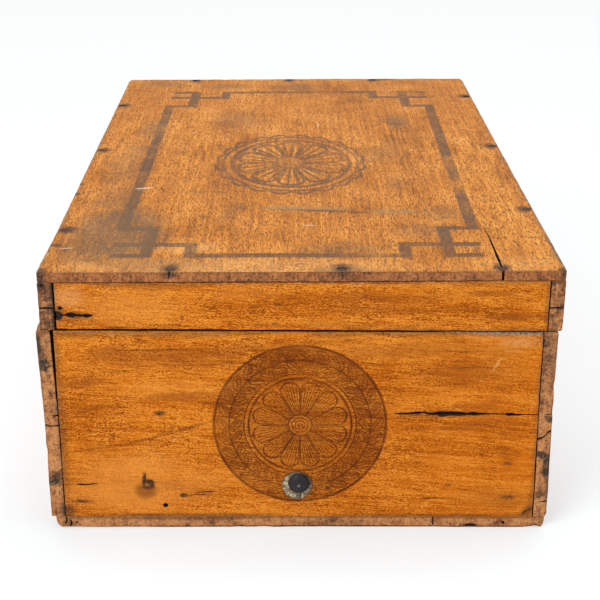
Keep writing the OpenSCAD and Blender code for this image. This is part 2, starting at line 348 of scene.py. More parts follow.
def woodMaterial(name, look, grain, seed, box, marks=None):
    material, shader = newMaterial(name)
    place = millimetres()
    turn = (0, look["slope"], 0) if grain == "X" else (0, 0, 90 + look["slope"])
    straight = stretch(place, (1, 1, 1), seed, turn)
    drift = cloud(straight, 0.016, 3, 0.55, True)
    wave = look["wave"]
    along = vector("MULTIPLY_ADD", drift, (0, wave, wave), straight)
    band, streak = [cloud(stretch(along, look[scale]), 1, 3, 0.55) for scale in ("bandScale", "streakScale")]
    thread, fleck, dash = [cloud(stretch(along, look[scale]), 1, 1, 0.5)
                           for scale in ("threadScale", "fleckScale", "poreScale")]
    mottle = cloud(straight, 0.03, 4, 0.6)
    pore = fade(dash, look["poreCut"], look["poreCut"] + 0.12)
    fibre = times(minus(thread, 0.5), look["threadGain"])
    fibre = layered(fibre, fleck, look["fleckGain"])
    if "calm" in look:
        axis, first, last, least = look["calm"]
        fibre = times(fibre, fade(split(place)[axis], first, last, 1.0, least))
    fibre = times(fibre, fade(cloud(along, 0.045, 2, 0.5), 0.35, 0.65, 0.65, 1.3))
    tone = calc("ADD", fibre, 0.5)
    for gain, layer in (("bandGain", band), ("streakGain", streak), ("mottleGain", mottle)):
        tone = layered(tone, layer, look[gain])
    colour = ramp(tone, (0.2, look["pale"]), (0.5, look["mid"]), (0.82, look["deep"]))
    colour = tint(times(pore, look["poreDepth"]), colour, look["pore"])
    gap = arrisGap(place, box)
    worn = cloud(straight, 0.16, 4, 0.65)
    colour = tint(nearArris(gap, worn, 12.0, 4.9, 2.2, look["worn"]), colour, look["bare"])
    colour = tint(nearArris(gap, mottle, 14.0, 6.6, 3.0, look["soot"]), colour, look["grime"])
    shine = timesPlus(mottle, 0.2, timesPlus(fleck, 0.16, look["sheen"] - 0.18))
    height = timesPlus(pore, -0.8, times(fleck, 0.7))
    if marks:
        colour = marks(place, colour)
    feedNamed(shader, {"Specular IOR Level": look["gloss"], "Coat Weight": 0.02, "Coat Roughness": 0.4})
    surface(shader, colour, shine, height, 0.4, 0.00018)
    return material


def endGrainMaterial(name, look, seed, box, shade, stainsAndShade):
    material, shader = newMaterial(name)
    place = millimetres()
    moved = stretch(place, (1, 1, 1), seed)
    patch = cloud(moved, 0.1, 4, 0.62)
    speck = cloud(moved, 0.7, 3, 0.65)
    upright = box[1].z - box[0].z > 0.02
    saw = cloud(stretch(moved, (0.8, 0.8, 0.05) if upright else (0.9, 0.8, 0.12)), 1, 3, 0.6)
    tone = timesPlus(speck, 0.9, shade + 0.05)
    tone = layered(tone, patch, look["blotch"])
    mottle = cloud(vector("ADD", moved, (13, 29, 71)), 0.26, 3, 0.65)
    tone = layered(tone, mottle, look["mottle"])
    tone = layered(tone, saw, 0.6)
    colour = ramp(tone, (0.25, look["pale"]), (0.5, look["mid"]), (0.8, look["deep"]))
    pits = fade(cloud(moved, 0.6, 3, 0.62), 0.58, 0.66)
    colour = tint(times(pits, 0.6), colour, look["pit"])
    chalk = fade(cloud(vector("ADD", moved, (37, 11, 53)), 0.6, 3, 0.62), 0.6, 0.68, 0.0, look["chalky"])
    colour = tint(chalk, colour, look["chalk"])
    soil = fade(cloud(moved, 0.05, 4, 0.6), 0.57, 0.72, 0.0, look["soil"])
    colour = tint(soil, colour, look["grime"])
    gap = arrisGap(place, box)
    colour = tint(nearArris(gap, speck, 2.4, 1.1, 1.2, 0.5), colour, look["grime"])
    # stains; for the base these include a painted contact shade line along its foot
    if stainsAndShade:
        dirt = patchy(roughen(place, 0.42, 5.0), stainsAndShade, speck, 0.32, 0.58, 0.6, 1.0)
        colour = tint(dirt, colour, look["stain"])
    if box[0].z < 1 * mm:  # painted contact shade where it stands on the floor, darker towards the bottom
        foot = fade(split(place)[2], 0.3, 1.5, 0.85, 0.0)
        colour = tint(foot, colour, look["stain"])
    height = timesPlus(pits, -1.0, speck)
    shine = timesPlus(patch, 0.2, 0.62)
    feedNamed(shader, {"Specular IOR Level": 0.25})
    surface(shader, colour, shine, height, 0.5, 0.0005)
    return material


def crackMaterial(name, dark, light):
    material, shader = newMaterial(name)
    speck = cloud(millimetres(), 0.7, 4, 0.65)
    colour = ramp(speck, (0.35, dark), (0.7, light))
    surface(shader, colour, fade(speck, 0.3, 0.7, 0.7, 0.95), speck, 0.5, 0.0006)
    return material


darkCrack = crackMaterial("dark_crack", srgb(16, 10, 7), srgb(62, 36, 20))
print("wood looks ready")


# boards: a cube at the node's size, arrises bevelled, cut to cells, then worn with displacement
cutting = {"arris": 0.4 * mm, "zone": 8 * mm, "fine": 0.9 * mm, "coarse": 5.0 * mm, "jointY": 229.5 * mm,
           "frontPart": -215 * mm, "sliverOver": 1.2 * mm, "pocketOver": 1 * mm,
           "headLevel": 0.05 * mm, "headReach": 6 * mm}
wearing = {
    "reach": 3.0 * mm, "wave": 0.3 * mm, "waveSize": 0.09, "rub": 0.3 * mm, "rubSize": 0.02,
    "nick": 0.22 * mm, "nickSize": 0.003,
    "chip": 1.5 * mm, "chipReach": (1.2 * mm, 4.2 * mm), "chipEvery": 45 * mm,
}


def wearTexture(name, size, depth, contrast, brightness):
    texture = bpy.data.textures.new(name, "CLOUDS")
    texture.noise_scale = size
    texture.noise_depth = depth
    texture.contrast = contrast
    texture.intensity = brightness
    return texture


waveTexture = wearTexture("board_wave", wearing["waveSize"], 1, 1.0, 1.0)
rubTexture = wearTexture("arris_rub", wearing["rubSize"], 3, 1.4, 1.0)
nickTexture = wearTexture("arris_nick", wearing["nickSize"], 2, 2.0, 0.8)


def lengthAlong(edge, axis):  # nothing for an edge that runs another way
    way = edge.verts[1].co - edge.verts[0].co
    return way.length if abs(way[axis]) > 0.999 * way.length else 0


def cutCells(board, low, high):
    zone = cutting["zone"]
    for axis, way in enumerate(ways):
        if high[axis] - low[axis] < 3 * zone:
            continue
        for level in (low[axis] + zone, high[axis] - zone):
            bpy.ops.mesh.select_all(action="SELECT")
            bpy.ops.mesh.bisect(plane_co=way * level, plane_no=way)
    for axis in range(3):
        editMesh = bmesh.from_edit_mesh(board.data)
        for length in sorted({round(lengthAlong(edge, axis), 5) for edge in editMesh.edges}):
            cell = cutting["coarse"] if length > zone * 1.5 else cutting["fine"]
            cuts = round(length / cell) - 1
            if cuts >= 1:
                selectParts(board, "EDGE", lambda edge: abs(lengthAlong(edge, axis) - length) < 1.5e-5)
                bpy.ops.mesh.subdivide(number_cuts=cuts)


def displace(board, texture, strength, middle, group=""):
    modifier = board.modifiers.new("wear", "DISPLACE")
    modifier.texture = texture
    modifier.texture_coords = "LOCAL"
    modifier.strength = strength
    modifier.mid_level = middle
    modifier.vertex_group = group
    applyModifier(board, modifier)


def addChips(board, low, high, amount):
    chips = []
    for axis in range(3):
        count = round((high[axis] - low[axis]) / wearing["chipEvery"] * 4 * amount)
        for _ in range(count):
            point = Vector(chipDraw.choice((low[i], high[i])) for i in range(3))
            point[axis] = chipDraw.uniform(low[axis], high[axis])
            chips.append((point, chipDraw.uniform(*wearing["chipReach"]), chipDraw.uniform(0.1, 1) ** 2))
    group = board.vertex_groups.new(name="chips")
    for vertex in board.data.vertices:
        weight = 0
        for point, reach, depth in chips:
            share = (vertex.co - point).length / reach
            if share < 1:
                weight = max(weight, depth * (1 - share * share))
        if weight:
            group.add([vertex.index], weight, "REPLACE")
    displace(board, None, -wearing["chip"], 0.0, "chips")


def roundCorner(node, second, corner, reach, frontOnly=False):  # across X and a second axis
    low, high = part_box(node)
    axes = (0, second)
    reach = [size * mm for size in reach]
    middle = [at + size if at < (low[axis] + high[axis]) / 2 else at - size
              for axis, at, size in zip(axes, corner, reach)]
    for vertex in boards[node].data.vertices:
        a, b = [(vertex.co[axis] - at) / size for axis, at, size in zip(axes, middle, reach)]
        if a * (corner[0] - middle[0]) <= 0 or b * (corner[1] - middle[1]) <= 0:
            continue
        far = math.hypot(a, b)
        if far > 1 and (not frontOnly or vertex.co.y < cutting["frontPart"]):
            vertex.co.x = middle[0] + a * reach[0] / far
            vertex.co[second] = middle[1] + b * reach[1] / far


def addBoard(node, chip):
    low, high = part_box(node)
    board = addBox(low, high)
    bpy.ops.object.mode_set(mode="EDIT")
    bpy.ops.mesh.select_all(action="SELECT")
    bpy.ops.mesh.bevel(offset=cutting["arris"], segments=2, affect="EDGES")
    cutCells(board, low, high)
    bpy.ops.object.mode_set(mode="OBJECT")
    group = board.vertex_groups.new(name="arris")
    for vertex in board.data.vertices:
        gaps = sorted(min(vertex.co[i] - low[i], high[i] - vertex.co[i]) for i in range(3))
        group.add([vertex.index], 1 - smoothStep(gaps[1], 0, wearing["reach"]), "REPLACE")
    displace(board, waveTexture, wearing["wave"], 0.5)
    displace(board, rubTexture, -wearing["rub"], 0.25, "arris")
    displace(board, nickTexture, -wearing["nick"], 0.2, "arris")
    addChips(board, low, high, chip)
    return board


def paintFaces(board, grain, bare, materials):
    for material in materials:
        board.data.materials.append(material)
    for face in board.data.polygons:
        axis = max(range(3), key=lambda i: abs(face.normal[i]))
        side = ("-" if face.normal[axis] < 0 else "+") + "XYZ"[axis]
        inJoint = axis == 0 and (grain == "X" or abs(face.center.y) > cutting["jointY"])
        if "XYZ"[axis] == grain:
            face.material_index = 3 if inJoint else 1
        elif side in bare:
            face.material_index = 3 if inJoint else 2


def carve(board, cutters):
    cutter = joinPieces(cutters)
    modifier = board.modifiers.new("carve", "BOOLEAN")
    modifier.operation = "DIFFERENCE"
    modifier.solver = "MANIFOLD"
    modifier.material_mode = "TRANSFER"
    modifier.object = cutter
    applyModifier(board, modifier)
    bpy.data.objects.remove(cutter)


# a jagged sliver that cuts a crack: stations of (along, across, width), sunk into the face
def addSliver(stations, face, depth, along=xWay, across=zWay, inward=yWay, taper=0.35, jag=0.25):
    stations = [[value * mm for value in station] for station in stations]
    sliver = addShape(bpy.ops.mesh.primitive_cube_add, size=1)
    bpy.ops.object.mode_set(mode="EDIT")
    selectParts(sliver, "EDGE", lambda edge: abs(edge.verts[0].co.x - edge.verts[1].co.x) > 0.5)
    bpy.ops.mesh.subdivide(number_cuts=len(stations) - 2)
    editMesh = bmesh.from_edit_mesh(sliver.data)
    jitter = [crackDraw.uniform(1 - jag, 1 + jag) for _ in range(2 * len(stations))]
    for vertex in editMesh.verts:
        index = round((vertex.co.x + 0.5) * (len(stations) - 1))
        distance, offset, width = stations[index]
        side = 1 if vertex.co.y > 0 else -1
        low = vertex.co.z < 0
        half = width / 2 * (taper if low else 1) * jitter[2 * index + (side > 0)]
        level = depth if low else -cutting["sliverOver"]
        vertex.co = face + along * distance + across * (offset + side * half) + inward * level
    bpy.ops.mesh.select_all(action="SELECT")
    bpy.ops.mesh.normals_make_consistent(inside=False)
    bpy.ops.object.mode_set(mode="OBJECT")
    sliver.data.materials.append(darkCrack)
    return sliver


def addPocket(centre, outward, radius, depth):
    over = cutting["pocketOver"]
    turn = zWay.rotation_difference(outward).to_euler()
    pocket = addShape(bpy.ops.mesh.primitive_cone_add, vertices=14, radius1=radius * 0.8, radius2=radius,
                      depth=depth + over, location=centre + outward * (over - depth) / 2, rotation=turn)
    placeInMesh(pocket)
    for vertex in pocket.data.vertices:
        away = vertex.co - centre
        level = outward * away.dot(outward)
        vertex.co = centre + level + (away - level) * crackDraw.uniform(0.88, 1.16)
    pocket.data.materials.append(darkCrack)
    return pocket


def headCentres(node, axis, high):
    mesh = frame["nodes"][node].data
    levels = [v.co[axis] for v in mesh.vertices]
    limit = max(levels) if high else min(levels)
    groups = []
    for vertex in mesh.vertices:
        if abs(vertex.co[axis] - limit) > cutting["headLevel"]:
            continue
        for group in groups:
            if (group[0] - vertex.co).length < cutting["headReach"]:
                group.append(vertex.co.copy())
                break
        else:
            groups.append([vertex.co.copy()])
    return [sum(group, Vector()) / len(group) for group in groups]


topHeads = headCentres("lid_top_nails", 2, True)
bottomHeads = headCentres("bottom_nails", 2, False)
leftHeads = headCentres("body_corner_nails", 0, False)
rightHeads = headCentres("body_corner_nails", 0, True)
lidLeftHeads = headCentres("lid_corner_nails", 0, False)
lidRightHeads = headCentres("lid_corner_nails", 0, True)
print("nail heads:", len(topHeads), len(bottomHeads), len(leftHeads), len(rightHeads))

pocketSize = {"radius": 2.9 * mm, "depth": 1.3 * mm, "leafGap": Vector((0.15, 0.15, 0.12)) * mm}


def pockets(heads, outward, level):
    cutters = []
    axis = max(range(3), key=lambda i: abs(outward[i]))
    for head in heads:
        centre = head.copy()
        centre[axis] = level
        cutters.append(addPocket(centre, outward, pocketSize["radius"], pocketSize["depth"]))
    return cutters


def leafRecess(node):
    low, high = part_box(node)
    recess = addBox(low - pocketSize["leafGap"], high + pocketSize["leafGap"])
    recess.data.materials.append(darkCrack)
    return recess


# marks, in millimetres of the row frame: a spot on the top board, and one on what faces the front
def topSpot(x, y, wide, long, depth, turn=0, core=0.2):
    return {"at": (x, y, 158), "reach": (wide, long, 60), "turn": (0, 0, turn),
            "depth": depth, "core": core}


def frontSpot(x, z, wide, tall, depth, turn=0, core=0.2):
    return {"at": (x, -238, z), "reach": (wide, 60, tall), "turn": (0, turn, 0),
            "depth": depth, "core": core}


def topSpots(rows):
    return [topSpot(*row) for row in rows]


def frontSpots(rows):
    return [frontSpot(*row) for row in rows]


topFace = {
    "midX": 2.1, "midY": -12.2, "skew": 0.0126, "soft": 0.9, "ink": srgb(88, 64, 46), "inkDepth": 0.88,
    "flowerX": -3.5, "flowerY": -23.0, "flowerFlat": 0.7, "scallop": 3.4, "scallopAt": 47.5,
    "rosette": (10, 10.0, 37.0, 40.0, 3.0),  # petals, inner and outer radius, ring and pen
    "pale": srgb(229, 177, 112), "grimeDepth": 0.86, "rust": srgb(64, 43, 33), "rustIn": 1.8,
    "rubbed": srgb(143, 120, 83), "scratch": srgb(210, 190, 160), "cut": srgb(84, 60, 40),
}
fretBars = [  # folded about the middle: x from, x to, y from, y to, and how much ink is left
    (0, 57, 196, 203), (56.8, 63.8, 178, 203.5), (56.8, 104.5, 177.8, 184.8), (81.3, 88.8, 148.8, 202.6),
    (81.3, 104.5, 196.4, 202.8), (98.2, 104.5, 178, 202.8, 0.35), (81.5, 106.8, 148.8, 155.6),
    (99.4, 106.8, 0, 155.6),
]
fretWorn = topSpots([
    (109.4, -13, 9, 10, 0.85), (104.5, -77, 9, 16, 0.6), (107.8, -202.7, 12, 10, 0.7),
    (-98, 70, 8, 14, 0.5), (30, 184, 22, 6, 0.5), (40, -209, 28, 9, 0.55),
])
topGrime = topSpots([
    (-105, -172, 38, 66, 1.0, 0, 0.45), (-82, -225, 52, 16, 0.5), (-112, -110, 22, 50, 0.6),
    (-116, -40, 18, 70, 0.5), (-118, -205, 30, 34, 0.8), (-105, 72, 14, 38, 0.65), (-109, 6, 14, 36, 0.6),
    (-110, 217, 30, 18, 0.6), (-55, 209, 30, 14, 0.75), (1.5, 208, 36, 16, 0.75), (-44, 96, 30, 38, 0.5),
    (78.5, 88.6, 13, 28, 0.95), (60.7, -0.5, 24, 34, 0.45), (66, -74, 13, 28, 0.45),
    (91, -135, 22, 24, 0.5), (72, -167, 26, 20, 0.45), (24, -202, 40, 22, 0.5),
    (-40, -130, 8, 36, 0.4, -24), (23, -233, 20, 10, 0.85), (-98, -158, 18, 46, 0.95, 0, 0.4),
])
topSpecks = topSpots([
    (-137.5, -194, 6, 5, 0.85), (76, 236, 15, 7, 0.8), (-139, -236, 5, 8, 0.9), (144, -236, 5, 8, 0.9),
    (-139.5, -95, 2.6, 4, 0.9, 0, 0.5), (-140, -74, 2.6, 4, 0.9, 0, 0.5),
    (145, -208, 2.2, 34, 0.75, 0, 0.4),
])
topPale = topSpots([
    (-26, -230, 130, 20, 0.5), (120, -226, 30, 18, 0.3), (-60, -200, 24, 16, 0.5),
    (-110, -230, 30, 12, 0.4),
])
topScratches = topSpots([
    (-98.4, -83, 7.5, 2.0, 0.9, 14, 0.4), (-130.8, -199, 5, 1.2, 0.8, 8), (7, -159.3, 6.5, 1.3, 0.7),
    (17.5, 79, 0.8, 12, 0.65),
])
topRubbed = topSpots([(4, -126.4, 38, 5.6, 0.9, -4.0, 0.55), (58, -132.8, 21, 5.2, 0.85, 0, 0.5)])
topCuts = topSpots([
    (16, -131, 36, 3.0, 0.9, -4.5), (38, -135, 9, 2.4, 0.9), (137, -182.6, 7.5, 1.0, 0.8, 9.5),
    (-61, -91, 6, 1.2, 0.8), (-60, -92, 20, 1.4, 0.4, 4), (-32, -165, 8, 1.2, 0.6),
])


def rosette(across, up, count, inner, outer, ringAt, pen):
    far = calc("SQRT", timesPlus(across, across, times(up, up)))
    angle = calc("ARCTAN2", up, across)
    step = times(angle, count / math.tau)
    side = times(calc("ABSOLUTE", minus(calc("FRACT", step), 0.5)), 2.0)
    bow = calc("SQRT", minus(1.0, times(side, side), clamp=True))
    tip = timesPlus(bow, (outer - inner) * 0.35, inner + (outer - inner) * 0.65)
    rim = line(minus(far, tip), 0.0, 1.1 * pen)
    inside = fade(minus(far, tip), -0.4, 0.2, 1.0, 0.0)
    inside = times(inside, fade(far, inner - 0.3, inner + 0.3))
    seam = times(minus(1.0, side), times(far, math.pi / count))
    seam = fade(seam, 0.25 * pen, 0.8 * pen, 1.0, 0.0)
    comb = calc("SINE", times(angle, count * round(9 / pen)))
    share = calc("DIVIDE", minus(far, inner), outer - inner)
    hatch = fade(minus(comb, times(share, 1.3)), -0.8, 0.0)
    body = times(inside, larger(seam, hatch))
    core = times(line(calc("FRACT", times(far, 0.55)), 0.5, 0.5), fade(far, inner - 0.6, inner, 0.9, 0.0))
    ring = larger(line(far, ringAt, 1.1 * pen), line(far, ringAt + 2 * pen, 0.7 * pen))
    ring = larger(ring, line(far, inner, 0.9 * pen))
    return larger(larger(rim, body), larger(core, ring)), far


def wreath(across, up, far, radius, pitch, leafLong, leafWide):
    turn = calc("ARCTAN2", calc("ABSOLUTE", across), times(up, -1.0))
    step = calc("FRACT", times(turn, radius / pitch))
    along = times(minus(step, 0.5), pitch)
    off = calc("ABSOLUTE", minus(far, radius))
    lift = minus(off, 3.6)
    splay = math.radians(38)
    length = timesPlus(along, math.cos(splay), times(lift, math.sin(splay)))
    width = timesPlus(along, -math.sin(splay), times(lift, math.cos(splay)))
    share = times(length, 1 / leafLong)
    oval = timesPlus(share, share, calc("POWER", times(calc("ABSOLUTE", width), 1 / leafWide), 2.0))
    oval = calc("SQRT", oval)
    rim = line(oval, 0.88, 0.3)
    inside = fade(oval, 0.75, 0.9, 1.0, 0.0)
    rib = line(width, 0.0, 0.5)
    veins = calc("SINE", times(minus(length, calc("ABSOLUTE", width)), 5.2))
    veins = times(fade(veins, -0.2, 0.5), fade(width, -0.6, 1.4, 0.9, 0.35))
    leaf = larger(times(inside, larger(rib, veins)), times(rim, 0.9))
    return larger(leaf, line(off, 0.0, 1.1))


def foldedBar(value, low, high, soft):  # a bar that starts at the middle has one edge only
    return bar(value, low, high, soft) if low else fade(value, high - soft, high + soft, 1.0, 0.0)


def topMarks(place, colour):
    x, y = split(roughen(place, 0.35, 1.4))[:2]
    fromMidY = minus(y, topFace["midY"])
    fromMidX = minus(timesPlus(fromMidY, -topFace["skew"], x), topFace["midX"])
    foldX = calc("ABSOLUTE", fromMidX)
    foldY = calc("ABSOLUTE", fromMidY)
    soft = topFace["soft"]
    fret = None
    for xFrom, xTo, yFrom, yTo, *left in fretBars:
        one = times(foldedBar(foldX, xFrom, xTo, soft), foldedBar(foldY, yFrom, yTo, soft))
        one = times(one, left[0]) if left else one
        fret = one if fret is None else larger(fret, one)
    across = minus(x, topFace["flowerX"])
    up = times(minus(y, topFace["flowerY"]), topFace["flowerFlat"])
    flower, far = rosette(across, up, *topFace["rosette"])
    scallop = calc("SINE", times(calc("ARCTAN2", up, across), topFace["rosette"][0]))
    scallop = times(calc("ABSOLUTE", scallop), topFace["scallop"])
    flower = larger(flower, line(minus(far, scallop), topFace["scallopAt"], 2.8))
    wearNoise = cloud(place, 0.035, 4, 0.6)
    fine = cloud(stretch(place, (1.1, 0.25, 1)), 1, 3, 0.6)
    held = fade(timesPlus(fine, 0.6, wearNoise), 0.66, 1.02, 1.0, 0.5)
    kept = minus(1.0, smudges(roughen(place, 0.12, 9.0), fretWorn))
    ink = times(larger(times(fret, kept), flower), held)
    wide = roughen(place, 0.06, 22.0)
    spots = cloud(place, 0.45, 4, 0.7)
    grime = patchy(wide, topGrime, spots, 0.3, 0.62, 0.35, 1.0)
    colour = tint(patchy(wide, topPale, spots, 0.4, 0.6, 0.1, 1.0), colour, topFace["pale"])
    colour = tint(times(ink, topFace["inkDepth"]), colour, topFace["ink"])
    colour = tint(times(grime, topFace["grimeDepth"]), colour, topLook["grime"])
    rust = list(topSpecks)
    for head in topHeads:
        rustAt = [head.x * 1000, head.y * 1000]
        nearest = 1 if abs(head.y) > 0.23 else 0
        rustAt[nearest] -= math.copysign(topFace["rustIn"], head[nearest])
        rust.append(topSpot(*rustAt, 7.2, 9.5, 0.92, core=0.35))
    rustMask = patchy(roughen(place, 0.3, 5.0), rust, spots, 0.3, 0.6, 0.5, 1.0)
    colour = tint(rustMask, colour, topFace["rust"])
    close = roughen(place, 0.2, 2.6)
    streaky = cloud(stretch(place, (0.14, 0.8, 1)), 1, 3, 0.6)
    rubbed = patchy(close, topRubbed, fine, 0.35, 0.6, 0.4, 1.0)
    colour = tint(times(rubbed, fade(streaky, 0.4, 0.58, 0.6, 1.0)), colour, topFace["rubbed"])
    colour = tint(patchy(close, topScratches, fine, 0.3, 0.55, 0.5, 1.0), colour, topFace["scratch"])
    return tint(patchy(close, topCuts, fine, 0.3, 0.6, 0.5, 1.0), colour, topFace["cut"])


# marks on the front board
frontFace = {
    "wreathX": 0.7, "wreathZ": 66.0, "ink": srgb(88, 34, 6), "inkDepth": 0.96,
    "rosette": (12, 6.5, 27.0, 29.0, 1.35), "wreath": (40.0, 8.4, 5.2, 2.5),  # radius, pitch and leaf
    "light": srgb(226, 142, 58), "streak": srgb(150, 76, 20), "line": srgb(92, 46, 14),
    "halo": srgb(112, 58, 20), "stain": srgb(52, 38, 30), "pale": srgb(222, 162, 96),
}
frontStreaks = frontSpots([
    (-75, 108, 62, 9, 0.45, -3), (-20, 114, 80, 5, 0.4, -4), (-115, 77, 23, 3.0, 0.55, -2),
    (-66, 84.5, 40, 3.6, 0.5, -5), (-104, 111, 19, 6.5, 0.55, -3), (95, 98, 44, 14, 0.4, -2),
    (96, 78, 34, 3, 0.45, -6), (96, 66, 40, 4, 0.35, -4), (-121, 92.5, 20, 6.0, 0.55, -2),
    (118, 18, 40, 12, 0.35), (60, 112, 70, 8, 0.4, -3), (105, 112, 34, 8, 0.3),
])
frontHalo = frontSpots([(-87.8, 24.4, 8.8, 7.4, 0.7, 0, 0.35)])
frontLight = frontSpots([
    (-95, 38, 44, 15, 0.55), (-96, 24, 52, 20, 0.6), (-60, 30, 30, 14, 0.4), (-70, 88, 50, 8, 0.25),
    (40, 112, 24, 6, 0.2),
])
frontStains = frontSpots([
    (-88.4, 31.6, 1.9, 6.0, 1.0, 4, 0.4), (-85.4, 30.2, 4.2, 2.4, 1.0, 14, 0.4),
    (-84.2, 27.8, 2.4, 3.2, 0.95, 0, 0.4), (-87, 26.4, 4.2, 1.7, 0.75, 0, 0.4),
    (-66.3, 21.3, 3.6, 2.2, 1.0), (-78, 73.6, 5.0, 2.5, 0.95), (16.4, 25.7, 1.6, 1.4, 0.8),
    (-124.2, 17.6, 9.0, 1.6, 0.85, 5), (119.2, 41.5, 3.6, 1.8, 0.6, -12), (120.4, 19.8, 7, 2.4, 0.65),
    (85.6, 27.8, 3.4, 1.4, 0.6, -14), (67.8, 42.3, 2.6, 1.4, 0.5), (-133, 11, 6, 8, 0.7),
    (132.2, 11.1, 7, 4, 0.6, -40), (82, 72.9, 40, 3.4, 0.45), (-133, 60, 4, 60, 0.35),
    (-70, 8.4, 70, 1.8, 0.55), (60, 8.2, 80, 1.3, 0.45),
])
frontLines = frontSpots([
    (-114, 51.8, 22, 1.5, 0.5, -7.5), (-86, 57.6, 17, 1.6, 0.65, -17), (-62, 64.6, 19, 1.6, 0.65, -16),
    (-75, 112.6, 45, 0.8, 0.75, -0.5), (-10, 112, 30, 0.8, 0.6, -1), (98, 101, 24, 0.8, 0.55, 1),
    (-40, 104, 24, 0.8, 0.55, -4), (-98, 99.5, 22, 0.8, 0.5, -2), (88, 111, 30, 0.7, 0.5, 0),
])
frontPale = frontSpots([
    (123, 116.4, 17, 5.0, 0.6), (110, 102.9, 1.0, 7.0, 0.95, 32), (119, 111, 9, 1.2, 0.25),
    (108, 119, 22, 1.8, 0.35), (-70.5, 56.9, 2.2, 1.7, 0.6),
])
frontRim = {"from": 69.0, "to": 134.0, "top": 122.7, "drop": 2.2, "dark": srgb(92, 66, 48),
            "light": srgb(186, 156, 128)}


def frontMarks(place, colour):
    x, _, z = split(roughen(place, 0.7, 0.7))
    across = minus(x, frontFace["wreathX"])
    up = minus(z, frontFace["wreathZ"])
    flower, far = rosette(across, up, *frontFace["rosette"])
    ink = larger(flower, wreath(across, up, far, *frontFace["wreath"]))
    rows = calc("SINE", timesPlus(up, 4.0, times(across, 0.9)))
    rows = times(fade(rows, -0.4, 0.5), bar(far, 31.5, 47.5, 0.8))
    for layer in (times(rows, 0.7), line(far, 48.4, 1.8), fade(far, 47.8, 49.0, 0.34, 0.0)):
        ink = larger(ink, layer)
    held = fade(cloud(place, 0.05, 4, 0.6), 0.35, 0.65, 1.0, 0.7)
    colour = tint(times(times(ink, held), frontFace["inkDepth"]), colour, frontFace["ink"])
    wide = roughen(place, 0.07, 12.0)
    colour = tint(smudges(wide, frontLight), colour, frontFace["light"])
    colour = tint(smudges(wide, frontStreaks), colour, frontFace["streak"])
    near = roughen(place, 0.35, 2.2)
    specks = cloud(place, 0.9, 3, 0.6)
    thin = patchy(roughen(place, 0.1, 3.0), frontLines, specks, 0.3, 0.6, 0.4, 1.0)
    colour = tint(thin, colour, frontFace["line"])
    colour = tint(smudges(near, frontHalo), colour, frontFace["halo"])
    colour = tint(patchy(near, frontStains, specks, 0.3, 0.55, 0.65, 1.0), colour, frontFace["stain"])
    colour = tint(patchy(near, frontPale, specks, 0.35, 0.6, 0.3, 0.9), colour, frontFace["pale"])
    nearX, _, nearZ = split(near)
    share = fade(nearX, frontRim["from"], frontRim["to"])
    edge = timesPlus(calc("POWER", share, 0.5), -frontRim["drop"], frontRim["top"])
    rim = times(fade(minus(nearZ, edge), -0.5, 0.5, 0.0, 0.9), fade(share, 0.0, 0.06))
    return tint(rim, colour, ramp(specks, (0.35, frontRim["dark"]), (0.65, frontRim["light"])))


# marks on the lid's front rail
railFace = {"light": srgb(228, 144, 58), "streak": srgb(140, 68, 16), "stain": srgb(40, 26, 20),
            "pale": srgb(226, 160, 96)}
railStainsAndShade = frontSpots([
    (-129.9, 137.5, 2.2, 1.6, 0.95, 14, 0.5), (-131, 133.6, 6, 7, 0.5), (-120, 133.1, 13, 3, 0.6),
    # the long thin row at z 152.5 is painted shade under the top board's edge; the other rows are stains
    (2, 152.5, 170, 0.9, 0.75, -0.13, 0.5), (-63.8, 131.6, 1.6, 2.6, 0.55), (-11.7, 139.2, 2.6, 1.6, 0.55),
    (-13.3, 128, 3, 1.4, 0.55), (-100, 126, 9, 1.2, 0.6),
])
railStreaks = frontSpots([
    (116, 131, 22, 3, 0.6), (104, 145, 26, 2.4, 0.6), (45, 143, 60, 5, 0.45), (60, 136, 70, 3, 0.4),
    (20, 127, 90, 2.6, 0.35),
])
railLight = frontSpots([(-95, 138, 46, 16, 0.45), (-30, 146, 40, 6, 0.25)])
railPale = frontSpots([(-126, 144, 12, 9, 0.5)])


def railMarks(place, colour):
    wide = roughen(place, 0.09, 8.0)
    colour = tint(smudges(wide, railLight), colour, railFace["light"])
    colour = tint(smudges(wide, railStreaks), colour, railFace["streak"])
    # stains, with a painted shade line along the rail's top edge under the top board
    colour = tint(smudges(roughen(place, 0.4, 2.0), railStainsAndShade), colour, railFace["stain"])
    specks = cloud(place, 0.8, 3, 0.6)
    return tint(patchy(wide, railPale, specks, 0.3, 0.6, 0.4, 1.0), colour, railFace["pale"])


# the long sides and the back: handling dirt, rubbed patches, thin scratches and a soiled foot
# the rim colour here is painted shade for the lid seam; the other colours are dirt and wear
sideWearAndSeamShade = {"dirt": srgb(108, 62, 28), "rubbed": srgb(220, 158, 92), "scratch": srgb(214, 160, 104),
            "foot": srgb(92, 58, 34), "footTop": 24.0, "rim": srgb(38, 26, 18)}


